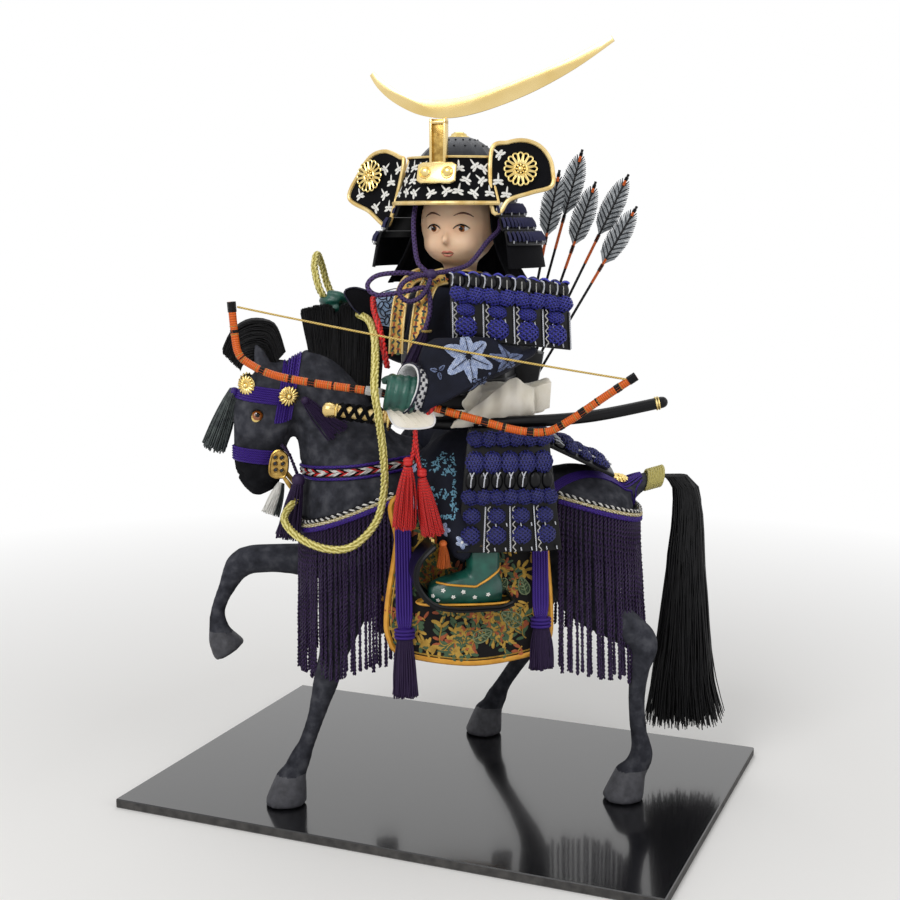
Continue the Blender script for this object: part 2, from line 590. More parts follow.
for name, place, size, watts in (("key_light", (-0.7, -0.9, 1.1), 0.7, studio["keyWatts"]),
                                 ("fill_light", (0.9, -0.7, 0.8), 0.9, studio["fillWatts"]),
                                 ("top_light", (0.1, 0.5, 1.3), 0.8, studio["fillWatts"])):
    lamp = bpy.data.objects.new(name, bpy.data.lights.new(name, "AREA"))
    scene.collection.objects.link(lamp)
    lamp.data.shape = "SQUARE"
    lamp.data.size = size
    lamp.data.energy = watts
    lamp.location = place
    lamp.rotation_euler = (Vector((0, 0, 0.2)) - Vector(place)).to_track_quat("-Z", "Y").to_euler()

camera = bpy.data.objects.new("camera", bpy.data.cameras.new("camera"))
scene.collection.objects.link(camera)
scene.camera = camera
camera.data.lens = studio["lens"]
camera.data.sensor_width = 36
camera.data.clip_start = 0.01
camera.location = studio["eye"]
camera.rotation_euler = (math.radians(90 - studio["down"]), 0, math.radians(studio["turn"]))
print("studio ready")


# free cords first: the rein, the helmet's chin cord and the bow string
ropeStyle = {"thick": 5.0 * mm, "layPitch": 9 * mm, "plies": 3}
ropeKnots = [at(*p) for p in (
    (-0.1, -0.023, 0.193), (-0.108, -0.042, 0.185), (-0.1, -0.06, 0.177), (-0.084, -0.07, 0.1715),
    (-0.068, -0.072, 0.173), (-0.054, -0.072, 0.187), (-0.049, -0.074, 0.207), (-0.05, -0.082, 0.23),
    (-0.054, -0.095, 0.256), (-0.056, -0.098, 0.27), (-0.0545, -0.086, 0.286), (-0.053, -0.06, 0.298),
    (-0.054, -0.03, 0.305), (-0.058, -0.006, 0.307), (-0.064, 0.014, 0.308), (-0.07, 0.031, 0.312),
    (-0.076, 0.038, 0.324), (-0.08, 0.034, 0.338), (-0.083, 0.027, 0.344), (-0.085, 0.02, 0.336),
    (-0.082, 0.015, 0.322), (-0.076, 0.018, 0.313))]
ropeLine = smoothLine(ropeKnots, 1.2 * mm)
half = ropeStyle["thick"] / 4
leadRope = piece("lead_rope_gold", cordMesh(twisted(ropeLine, half, ropeStyle["layPitch"],
        ropeStyle["plies"]), half * 1.05, 1), goldRope, ["lead_rope"])

chinStyle = {"thick": 3.0 * mm}
chinKnots = [at(*p) for p in (
    (-0.0225, -0.0125, 0.3776), (-0.025, -0.019, 0.366), (-0.025, -0.024, 0.352), (-0.0235, -0.031, 0.34),
    (-0.018, -0.0375, 0.333), (-0.035, -0.044, 0.3345), (-0.05, -0.047, 0.333), (-0.056, -0.048, 0.327),
    (-0.05, -0.049, 0.3215), (-0.033, -0.048, 0.3235), (-0.02, -0.045, 0.325), (-0.018, -0.046, 0.312),
    (-0.022, -0.05, 0.299))]
chinLine = smoothLine(chinKnots, 1.0 * mm)
chinCord = piece("chin_cord_braided", cordMesh([chinLine], chinStyle["thick"] / 2, 3), chinBraid,
                 ["chin_cord"])
secondKnots = [at(*p) for p in (
    (0.0281, -0.025, 0.366), (0.0265, -0.03, 0.36), (0.0188, -0.035, 0.353), (0.0073, -0.04, 0.34),
    (-0.004, -0.043, 0.336),
    (-0.016, -0.044, 0.334), (-0.026, -0.046, 0.3325), (-0.034, -0.0475, 0.329), (-0.037, -0.0485, 0.3225),
    (-0.0315, -0.049, 0.3175), (-0.024, -0.048, 0.32), (-0.019, -0.0465, 0.327), (-0.0175, -0.0455, 0.332))]
secondLine = smoothLine(secondKnots, 1.0 * mm)
secondCord = piece("chin_cord_second", joinMeshes((cordMesh([secondLine], chinStyle["thick"] / 2, 3), 0),
        (ballMesh([at(-0.017, -0.045, 0.3335)], (3.6 * mm, 3.0 * mm, 3.2 * mm), 14, 8), 0)),
                   chinBraid, sharp=None)
chinTop = at(-0.0205, -0.049, 0.301)
chinThreads = tasselLines(chinTop, (-0.4, -0.1, -0.9), 0.026, 0.005, 90)
piece("chin_tassel", joinMeshes((cordMesh(chinThreads, 0.4 * mm), 0),
                                (cordMesh([[chinTop + Vector((math.cos(a) * 2.6, math.sin(a) * 2.6,
                                        -1.5)) * mm for a in ringAngles(20)]], 0.9 * mm, 1, closed=True),
                                        1)), [purpleDark, goldString], sharp=None)

bowKnots = [at(*p) for p in (
    (-0.1365, -0.066, 0.319), (-0.135, -0.066, 0.3), (-0.133, -0.067, 0.289), (-0.127, -0.068, 0.283),
    (-0.113, -0.071, 0.2765), (-0.09, -0.076, 0.272), (-0.06, -0.083, 0.268), (-0.044, -0.087, 0.265),
    (-0.02, -0.092, 0.258), (0.002, -0.097, 0.252), (0.025, -0.102, 0.246), (0.042, -0.106, 0.245),
    (0.055, -0.109, 0.2515), (0.075, -0.114, 0.266), (0.092, -0.118, 0.278))]
stringEnds = [bowKnots[0] + Vector((0.0034, -0.0005, -0.003)), bowKnots[-1] + Vector((-0.0046, 0, -0.002))]
stringLine = []
for k in range(41):
    t = k / 40
    stringLine.append(stringEnds[0].lerp(stringEnds[1], t) + Vector((0, 0, -0.0015)) * 4 * t * (1 - t))
bowString = piece("bow_string_gold", cordMesh([stringLine], 0.6 * mm, 2), goldString,
                  ["bow_string"])
print("cords ready")


# the horse: flocked hide with its muscles, drawn over the solid's form
horseStyle = {"voxel": 1.7 * mm, "melt": 10}
horseMesh = softened(cadMesh("horse_body"), horseStyle["voxel"], horseStyle["melt"])
horseDabs = []
for side in (-1, 1):
    horseDabs += [
        (at(-0.06, side * 0.04, 0.16), 0.026, 1.8 * mm), (at(-0.052, side * 0.04, 0.186), 0.022, 1.4 * mm),
        (at(-0.078, side * 0.026, 0.206), 0.016, -1.0 * mm), (at(0.088, side * 0.04, 0.16), 0.03, 1.8 * mm),
        (at(0.045, side * 0.042, 0.15), 0.02, -1.4 * mm),
        (at(-0.108, side * 0.014, 0.236), 0.012, 1.6 * mm), (at(-0.1215, side * 0.013, 0.225), 0.01,
                -1.1 * mm),
        (at(-0.124, side * 0.014, 0.252), 0.006, 1.3 * mm), (at(-0.116, side * 0.014, 0.249), 0.006,
                -0.9 * mm),
        (at(-0.1335, side * 0.0065, 0.2065), 0.0045, -1.8 * mm), (at(-0.1335, side * 0.0095, 0.2085), 0.0045,
                0.8 * mm), (at(-0.123, side * 0.0125, 0.203), 0.005, 0.6 * mm),
        (at(-0.1225, side * 0.0165, 0.284), 0.005, -1.6 * mm)]
# the poll between the ears
horseDabs += [(at(-0.108, 0, 0.276), 0.011, 4.5 * mm), (at(-0.101, 0, 0.2735), 0.013, 7.5 * mm)]
pressed(horseMesh, horseDabs)
lips = [(vert, vert.normal * 0.9 * mm) for vert in horseMesh.vertices if vert.co.x < -0.11
        and vert.co.z < lift + 0.2075
        and abs(vert.co.z - (lift + 0.2015 - (vert.co.x + 0.122) * 0.25)) < 1.1 * mm]
for vert, move in lips:
    vert.co -= move
horseTree = surfaceOf(horseMesh)

tree = hideGrey.node_tree
shader = tree.nodes["Principled BSDF"]
coat = shader.inputs["Base Color"].links[0].from_socket
where = addNode(tree, "ShaderNodeTexCoord").outputs["Object"]
near = addNode(tree, "ShaderNodeVectorMath", {"operation": "DISTANCE", 1: tuple(at(-0.125, 0, 0.199))},
               {0: where}).outputs["Value"]
dark = addNode(tree, "ShaderNodeMapRange", {"From Min": 0.02, "From Max": 0.038, "To Min": 0.15,
                                            "To Max": 1.0}, {"Value": near}).outputs[0]
height = addNode(tree, "ShaderNodeSeparateXYZ", None, {0: where}).outputs["Z"]
shank = addNode(tree, "ShaderNodeMapRange", {"From Min": 0.03, "From Max": 0.13, "To Min": 0.72,
        "To Max": 1.0}, {"Value": height}).outputs[0]
shade = addNode(tree, "ShaderNodeMath", {"operation": "MULTIPLY"}, {0: dark, 1: shank}).outputs[0]
tint = addNode(tree, "ShaderNodeVectorMath", {"operation": "SCALE"}, {0: coat, "Scale": shade}).outputs[0]
tree.links.new(tint, shader.inputs["Base Color"])

raisedHoof = at(-0.149, 0.032, 0.0865)
for face in horseMesh.polygons:
    middle = face.center
    onHoof = middle.z < lift + 0.0195 or ((middle - raisedHoof).length < 0.0165 and middle.z < lift + 0.094)
    face.material_index = 1 if onHoof else 0
piece("horse_flocked", horseMesh, [hideGrey, hoofHorn], ["horse_body"], sharp=None)

eyeStyle = {"radius": 5.8 * mm, "iris": 4.6 * mm, "pupil": 2.5 * mm}
for side, word in ((-1, "left"), (1, "right")):
    hit, normal, _, _ = horseTree.ray_cast(at(-0.1235, side * 0.05, 0.2436), Vector((0, -side, 0)))
    look = (normal + Vector((-0.18, 0, 0.02))).normalized()
    centre = hit - look * eyeStyle["radius"] * 0.24
    turnTo = look.to_track_quat("Z", "Y").to_matrix()
    eyeParts = [(ballMesh([centre], (eyeStyle["radius"],) * 3, 24, 14), 0),
                (ballMesh([centre + look * 1.6 * mm], (eyeStyle["iris"],) * 3, 20, 12), 1),
                (ballMesh([centre + look * 3.95 * mm], (eyeStyle["pupil"],) * 3, 14, 10), 2),
                (ballMesh([centre + look * 6.0 * mm + Vector((-0.8, 0, 1.1)) * mm], (0.45 * mm,) * 3, 8, 6),
                 4)]
    rim = [centre + look * 2.5 * mm + turnTo @ Vector((math.cos(a) * 5.4, math.sin(a) * 5.0, 0)) * mm
           for a in ringAngles(28)]
    eyeParts.append((cordMesh([rim], 0.55 * mm, 1, closed=True), 3))
    for reach, back in ((5.4, 1.7), (6.6, 0.9)):   # folds of the lids
        lid = [centre + look * back * mm + turnTo @ Vector((math.cos(a) * reach, math.sin(a) * reach * 0.86,
                0)) * mm for a in ringAngles(28)]
        eyeParts.append((cordMesh([lid], 0.9 * mm, 1, closed=True), 5))
    piece(f"horse_eye_glass_{word}", joinMeshes(*eyeParts), [giltCast, glassBrown, glassBlack, giltCast,
            paintGlint, hideGrey], [f"horse_eye_{word}"])
print("horse ready")


# mane, forelock and tail: bristle and hair set strand by strand
hairStyle = {"maneTufts": 2600, "maneThick": 0.34 * mm, "forelockHairs": 1150, "forelockThick": 0.4 * mm,
             # the golden angle spreads the roots
             "tailHairs": 900, "tailThick": 0.55 * mm, "tailTurn": 2.39996}
hairs = []
for k in range(hairStyle["maneTufts"]):
    t = random.random()
    foot = at(-0.09 + 0.043 * t, random.uniform(-3.2, 3.2) * mm, 0.262)
    hit, normal, _, _ = horseTree.ray_cast(at(foot.x, foot.y, 0.34), Vector((0, 0, -1)))
    root = (hit if hit is not None else foot) - Vector((0, 0, 1.5 * mm))
    notch = 0.006 * math.exp(-((t - 0.42) / 0.06) ** 2)
    topZ = lift + 0.3095 + 0.004 * math.sin(t * 3.1) - notch + random.uniform(-3.0, 1.4) * mm
    lean = (t - 0.45) * 0.01 + random.uniform(-1, 1) * mm
    tip = Vector((root.x + lean, root.y * 1.35 + random.uniform(-0.8, 0.8) * mm, topZ))
    middle = root.lerp(tip, 0.5) + Vector((random.uniform(-1, 1), random.uniform(-1, 1), 0)) * 0.6 * mm
    hairs.append([root, middle, tip])
piece("mane_bristle", cordMesh(hairs, hairStyle["maneThick"], 0, lambda t: 1.15 - 0.5 * t), bristle,
      ["mane"], sharp=None)

hairs = []
# s runs from the outer sweep to the inner one, so the lock is full all through
for k in range(hairStyle["forelockHairs"]):
    side, s, fan = random.uniform(-1, 1), random.random(), random.uniform(-1, 1)
    root = at(-0.105 - 0.013 * s, side * 5 * mm, 0.284 - 0.014 * s)
    top = at(-0.1115 - 0.0095 * s, side * 7 * mm, 0.3015 - 0.0235 * s)
    crest = at(-0.126 + 0.0005 * s, side * 8 * mm, 0.304 - 0.025 * s + 0.001 * fan)
    out = at(-0.1385 + 0.0075 * s, side * 8 * mm, 0.2965 - 0.019 * s + 0.001 * fan)
    tip = at(-0.144 + 0.011 * s, side * 7 * mm, 0.285 - 0.011 * s + random.uniform(-2, 2) * mm)
    hairs.append(smoothLine([root, top, crest, out, tip], 4 * mm))
piece("forelock_bristle", cordMesh(hairs, hairStyle["forelockThick"], 0, lambda t: 1.1 - 0.6 * t), bristle,
      ["forelock"], sharp=None)

tailKnots = [(0.1413, 0.1986, 0.006), (0.1515, 0.1985, 0.0066), (0.158, 0.1905, 0.0072),
             (0.16, 0.172, 0.0088),
             (0.1595, 0.144, 0.0116), (0.16, 0.114, 0.0146), (0.16, 0.08, 0.0184), (0.16, 0.05, 0.0222),
             (0.1615, 0.026, 0.0268)]
hairs = []
for k in range(hairStyle["tailHairs"]):
    reach, angle = math.sqrt((k + 0.5) / hairStyle["tailHairs"]), k * hairStyle["tailTurn"]
    wave, phase = random.uniform(0.4, 1.6) * mm, random.uniform(0, 6)
    drop = random.uniform(0.93, 1.0)
    knots = []
    for i, (x, z, radius) in enumerate(tailKnots):
        ripple = wave * math.sin(phase + i * 1.1)
        z = 0.1986 - (0.1986 - z) * (drop if i > 3 else 1)
        knots.append(at(x + (math.cos(angle) * reach * radius) + ripple,
                        math.sin(angle) * reach * radius * 0.62, z))
    if reach > 0.35 or k % 3 == 0:
        hairs.append(smoothLine(knots, 11 * mm))
piece("tail_hair_black", cordMesh(hairs, hairStyle["tailThick"], 0, lambda t: 1.3 - 0.8 * t * t), bristle,
      ["tail_hair"], sharp=None)

wrap = []
for k in range(7):
    middle = at(0.1312 + 0.0016 * k, 0, 0.1961 + 0.0004 * k)
    wrap.append([middle + Vector((0.15 * math.sin(a), math.cos(a), math.sin(a))) * 6.7 * mm
                 for a in ringAngles(24)])
piece("tail_wrap_gold", cordMesh(wrap, 0.95 * mm, 1, closed=True), goldRope, ["tail_band"])

tuft = tasselLines(at(-0.1375, 0.002, 0.26), (-0.34, 0.13, -0.93), 0.041, 0.008, 110)
knob = ballMesh([at(-0.1375, 0.002, 0.2585)], (3.4 * mm, 3.4 * mm, 3.0 * mm), 12, 8)
piece("brow_tassel_horsehair", joinMeshes((cordMesh(tuft, 0.5 * mm), 0), (knob, 1)), [greyTuft, purpleBraid],
      ["brow_tassel"], sharp=None)
print("mane and tail ready")


# bridle, collar and crupper: flat braids of round cords that lie on the hide
strapStyle = {"cordThick": 1.65 * mm, "stand": 0.75 * mm}


def strapRound(centre, axis, start, end, count, steps=72, zero=(0, 0, 1), spacing=1.35 * mm):
    lines = []
    for k in range(count):
        offset = Vector(axis).normalized() * spacing * (k - (count - 1) / 2)
        lines.append(ringOn(horseTree, Vector(centre) + offset, axis, start, end, steps, strapStyle["stand"],
                            zero))
    return [line for line in lines if len(line) > 3]


leanCheek = (math.cos(math.radians(10)), 0, -math.sin(math.radians(10)))
bridle = []
bridle += strapRound(at(-0.105, 0, 0.254), leanCheek, -137, 137, 7, spacing=1.5 * mm)
bridle += strapRound(at(-0.115, 0, 0.2572), (0.13, 0, 1), -140, 140, 7, 60, zero=(-1, 0, 0),
                     spacing=1.4 * mm)
bridle += strapRound(at(-0.121, 0, 0.2183), (0.12, 0, 1), -180, 180, 6, 60, zero=(-1, 0, 0),
                     spacing=1.5 * mm)
rosettes = []
for side in (-1, 1):
    hit, normal, _, _ = horseTree.ray_cast(at(-0.104, side * 0.05, 0.2575), Vector((0, -side, 0)))
    rosettes.append((hit + normal * 2.6 * mm, normal))
for side in (-1, 1):
    hit, normal, _, _ = horseTree.ray_cast(at(-0.2, side * 0.0075, 0.2625), Vector((1, 0, 0)))
    rosettes.append((hit + normal * 2.4 * mm, Vector((-0.62, side * 0.78, 0.05)).normalized()))
tailsOf = []
for side in (-1, 1):   # the brow band is knotted behind the cheek strap, and its ends hang in a tassel
    hit, normal, _, _ = horseTree.ray_cast(at(-0.0925, side * 0.06, 0.2545), Vector((0, -side, 0)))
    knotAt = hit + normal * 2.2 * mm
    down = Vector((0.72, 0, -0.7)).normalized()
    threads = []
    for line in tasselLines(knotAt, down, 0.03, 0.0075, 26, 0.35):
        threads.append([laidOn(horseTree, p, 1.2 * mm + (k % 3) * 0.5 * mm)[0] if k else p for k,
                        p in enumerate(line)])
    tailsOf.append((cordMesh(threads, 0.42 * mm), 2))
    tailsOf.append((ballMesh([knotAt], (2.7 * mm, 2.2 * mm, 2.5 * mm), 12, 8), 2))


# a cast chrysanthemum: slender petals round a domed heart
def bossMesh(places, radius, petals=12, thick=1.6 * mm):
    bm = bmesh.new()
    for centre, normal in places:
        basis = Matrix.Translation(centre) @ normal.to_track_quat("Z", "Y").to_matrix().to_4x4()
        bmesh.ops.create_cone(bm, cap_ends=True, segments=24, radius1=radius * 0.86, radius2=radius * 0.6,
                              depth=thick, matrix=basis)
        for k in range(petals):
            turn = Matrix.Rotation(math.tau * k / petals, 4, "Z") @ Matrix.Translation((radius * 0.62, 0,
                    thick * 0.35)) @ Matrix.Rotation(0.22, 4, "Y")
            bmesh.ops.create_uvsphere(bm, u_segments=10, v_segments=6, radius=1,
                                      matrix=basis @ turn @ Matrix.Diagonal((radius * 0.4,
                                              radius * 2.2 / petals, thick * 0.5, 1)))
        bmesh.ops.create_uvsphere(bm, u_segments=14, v_segments=8, radius=1,
                                  matrix=basis @ Matrix.Translation((0, 0,
                                          thick * 0.5)) @ Matrix.Diagonal((radius * 0.26, radius * 0.26,
                                                  thick * 0.9, 1)))
    return meshFrom(bm)


piece("bridle_braided", joinMeshes((cordMesh(bridle, strapStyle["cordThick"] / 2), 0),
                                   (bossMesh(rosettes, 6.8 * mm, 16, 2.0 * mm), 1), *tailsOf),
      [purpleBraid, giltCast, purpleDark], ["headstall"])

leanCollar = (-math.sin(math.radians(6)), 0, math.cos(math.radians(6)))
collarAt = at(-0.068, 0, 0.2105)
edges = strapRound(collarAt, leanCollar, 0, 360, 5, 90, zero=(-1, 0, 0), spacing=1.75 * mm)
pairs = []
for k in (0, 1):   # two cords laid opposite ways, so their plies meet as arrowheads
    middle = [edges[1 + k][i].lerp(edges[2 + k][i], 0.5)
              for i in range(min(len(edges[1 + k]), len(edges[2 + k])))]
    pairs += twisted(smoothLine(middle, 0.8 * mm), 0.55 * mm, 10 * mm, 4, left=k == 0)
knot = at(-0.0985, -0.0205, 0.2045)
fall = tasselLines(knot, (-0.2, -0.16, -0.96), 0.037, 0.008, 100)
head = ballMesh([knot], (4.2 * mm, 4.2 * mm, 4.6 * mm), 16, 10)
piece("neck_strap_chevron", joinMeshes((cordMesh([edges[0], edges[4]], 1.0 * mm, 1), 0),
                                       (cordMesh(pairs[0::4], 0.72 * mm), 1),
                                       (cordMesh(pairs[1::4] + pairs[2::4], 0.72 * mm), 2),
                                       (cordMesh(pairs[3::4], 0.72 * mm), 4),
                                       (cordMesh(fall, 0.55 * mm), 3), (head, 3)),
      [purpleBraid, redSilk, whiteCord, purpleDark, clothBlack], ["neck_strap"], sharp=None)

crupperLines = []
for side in (-1, 1):
    for k in range(5):
        across = (k - 2) * 1.35 * mm
        line = []
        for n in range(37):
            t = n / 36
            x, y = 0.057 + 0.07 * t, side * (0.0235 * (1 - t) ** 0.9 + 0.0025) + across
            hit, _, _, _ = horseTree.ray_cast(at(x, y, 0.25), Vector((0, 0, -1)))
            if hit is not None:
                line.append(hit + Vector((0, 0, strapStyle["stand"])))
        crupperLines.append(line)
hit, normal, _, _ = horseTree.ray_cast(at(0.112, -0.003, 0.26), Vector((0, 0, -1)))
piece("crupper_braided", joinMeshes((cordMesh(crupperLines, 0.75 * mm), 0),
                                    (bossMesh([(hit + normal * 2.2 * mm, normal)], 6 * mm), 1)),
      [purpleBraid, giltCast], ["crupper"])

# the bit: pierced gilt plates with hanging shanks, and the bar between them
bitParts = []
for side in (-1, 1):
    place = Matrix.Translation(at(-0.1105, side * 0.0175, 0.2145)) @ Matrix.Diagonal((0.92, 1, 0.88, 1))
    bitParts.append((sheetFrom([(-0.0062, -0.0075), (0.0045, -0.0092), (0.0068, 0.005), (0.001, 0.0108),
                                (-0.0048, 0.007)], 1.3 * mm, 0.35 * mm, place), 0))
    bitParts.append((sheetFrom([(0.0005, -0.007), (0.0038, -0.008), (0.0088, -0.0145), (0.0135, -0.021),
                                (0.0105, -0.0228), (0.005, -0.015)], 1.4 * mm, 0.35 * mm, place), 0))
    rim = closedLine([place @ Vector(p) for p in ((-0.0056, 0, -0.007), (0.004, 0, -0.0084),
            (0.006, 0, 0.0046), (0.001, 0, 0.0098), (-0.0043, 0, 0.0065))], 1 * mm)
    bitParts.append((cordMesh([rim], 0.95 * mm, 1, closed=True), 0))
    for x, z in ((-0.0022, 0.0052), (0.0022, 0.0048), (-0.0024, 0.0008), (0.0028, 0.0004),
                 (-0.0022, -0.0038), (0.002, -0.0044)):
        ring = [place @ Vector((x + 1.5 * mm * math.cos(a), side * 0.7 * mm, z + 1.5 * mm * math.sin(a)))
                for a in ringAngles(14)]
        bitParts.append((cordMesh([ring], 0.45 * mm, 0, closed=True), 0))
        bitParts.append((ballMesh([place @ Vector((x, side * 0.35 * mm, z))], (1.5 * mm, 0.8 * mm, 1.5 * mm),
                                  10, 6), 1))
bitParts.append((cordMesh([[at(-0.1135, y, 0.2085) for y in (-0.0165, 0, 0.0165)]], 1.3 * mm, 1), 0))
piece("bit_gilt", joinMeshes(*bitParts), [giltAged, ironDark], ["bit"])
print("harness ready")


# the fringes: a chain cord, a cream cord and a purple braid above a curtain of twisted cords
fringeStyle = {"pitch": 2.35 * mm, "ply": 0.72 * mm, "layPitch": 5.0 * mm}


def fringe(name, node, centreX, halfX, halfY, sweep, heading, rise, topZ, drop, flare):
    endX = centreX - heading * halfX
    power = 2 / 2.4

    def plan(angle, outBy=0.0):
        c, s = math.cos(angle), math.sin(angle)
        x, y = -halfX * math.copysign(abs(c) ** power, c), halfY * math.copysign(abs(s) ** power, s)
        reach = Vector((x, y, 0))
        reach += reach.normalized() * outBy
        return centreX + heading * reach.x, reach.y

    def topAt(x):
        return topZ + rise * abs(x - endX)

    angles = [math.radians(sweep) * (2 * i / 400 - 1) for i in range(401)]
    rows = {}
    for key, up, outBy in (("chain", 6.2 * mm, 2.6 * mm), ("cream", 3.9 * mm, 2.9 * mm),
                           ("braid", 1.2 * mm, 2.9 * mm)):
        line = []
        for angle in angles[::2]:
            x, y = plan(angle, outBy)
            line.append(at(x, y, topAt(x) + up))
        rows[key] = line
    chain = twisted(rows["chain"], 0.6 * mm, 4.4 * mm, 2)
    cream = twisted(rows["cream"], 0.65 * mm, 4.0 * mm, 2)
    normals = []
    for a in angles[::2]:
        x, y = plan(a)
        normals.append(Vector((x - centreX, y, 0)).normalized())
    braid = plaited(rows["braid"], normals, 1.1 * mm, 0.35 * mm, 6 * mm, 3)
    cords, travelled, last = [], fringeStyle["pitch"], None
    for angle in angles:
        x, y = plan(angle, 1.6 * mm)
        place = Vector((x, y, 0))
        if last is not None:
            travelled += (place - last).length
        last = place
        if travelled < fringeStyle["pitch"]:
            continue
        travelled = 0.0
        out = Vector((x - centreX, y, 0)).normalized()
        spread = Vector((out.x * 0.3, out.y, 0)) * flare
        top = topAt(x)
        foot = topZ - drop + rise * 0.8 * max(0.0, abs(x - endX) - 0.01) + random.uniform(-2.5, 3.5) * mm
        swing = Vector((random.uniform(-1, 1), random.uniform(-1, 1), 0)) * 1.3 * mm
        knots = [at(x, y, top), at(x, y, top * 0.67 + foot * 0.33) + spread * 0.3 + swing * 0.4,
                 at(x, y, top * 0.3 + foot * 0.7) + spread * 0.72 + swing * 0.9,
                 at(x, y, foot) + spread + swing]
        cords += twisted(smoothLine(knots, 1.5 * mm), fringeStyle["ply"], fringeStyle["layPitch"], 2)
    backing = sheetAlong([at(plan(a, 0.4 * mm)[0], plan(a, 0.4 * mm)[1], topAt(plan(a)[0]))
                          for a in angles[::8]], 7.0 * mm, 1.2 * mm)
    piece(name, joinMeshes((cordMesh(cords, fringeStyle["ply"]), 0), (cordMesh(chain[:1], 0.75 * mm), 1),
                           (cordMesh(chain[1:], 0.75 * mm), 2),
                           (cordMesh(cream, 0.75 * mm), 3), (cordMesh(braid, 0.85 * mm), 4), (backing, 5)),
          [purpleDark, whiteCord, rattanBlack, creamCord, purpleBraid, clothBlack], [node],
          sharp=None)


def sheetAlong(line, height, thickness):   # an upright ribbon that follows a line
    bm = bmesh.new()
    verts = [bm.verts.new(p) for p in line]
    edges = [bm.edges.new(pair) for pair in zip(verts, verts[1:])]
    made = bmesh.ops.extrude_edge_only(bm, edges=edges)["geom"]
    bmesh.ops.translate(bm, vec=(0, 0, height), verts=[g for g in made if isinstance(g, bmesh.types.BMVert)])
    bmesh.ops.recalc_face_normals(bm, faces=bm.faces)
    bmesh.ops.solidify(bm, geom=bm.faces[:], thickness=thickness)
    return meshFrom(bm)


tuftAt = at(-0.109, -0.008, 0.201)
whiteTuft = tasselLines(tuftAt, (-0.34, -0.2, -0.9), 0.021, 0.0062, 110)
pale = [line for line in whiteTuft if line[-1].x < tuftAt.x - 0.0055]
throat = [ply for y in (-0.0175, -0.0195) for ply in twisted(smoothLine([at(-0.1085, y, 0.227),
        at(-0.104, y - 0.002, 0.2215), at(-0.099, y, 0.208)], 1 * mm), 0.6 * mm, 4 * mm, 2)]
piece("chin_tuft_horsehair", joinMeshes((cordMesh(pale, 0.32 * mm), 0),
                                        (cordMesh([line for line in whiteTuft if line not in pale],
                                                0.32 * mm), 1), (cordMesh(throat, 0.65 * mm), 2)),
                                                [stitchWhite, greyTuft, purpleDark],
                                                sharp=None)

fringe("chest_fringe_cords", "chest_fringe", -0.045, 0.051, 0.05, 92, 1, 0.42, 0.172, 0.092, 0.003)
fringe("rump_fringe_cords", "rump_fringe", 0.078, 0.044, 0.049, 106, -1, 0.3, 0.174, 0.098, 0.014)
print("fringes ready")


# the saddle: lacquered arches and seat
saddleMesh = softened(cadMesh("saddle"), 1.5 * mm, 5)
piece("saddle_lacquered", saddleMesh, lacquerBlack, ["saddle"], sharp=None)

# saddle flaps: stiff brocade panels with scrolling leaves and a piped rim
flapStyle = {"out": 0.053, "lean": 7, "thick": 2.4 * mm, "piping": 1.9 * mm}
flapOutline = [(-0.036, 0.0), (-0.04, -0.03), (-0.0465, -0.07), (-0.0455, -0.088), (-0.036, -0.098),
               (0.005, -0.105), (0.042, -0.1005), (0.052, -0.094), (0.055, -0.08), (0.053, -0.04),
               (0.048, 0.0)]


def flapPlace(side):
    return Matrix.Translation(at(0, side * flapStyle["out"],
                                 0.2)) @ Matrix.Rotation(side * math.radians(flapStyle["lean"]), 4, "X")


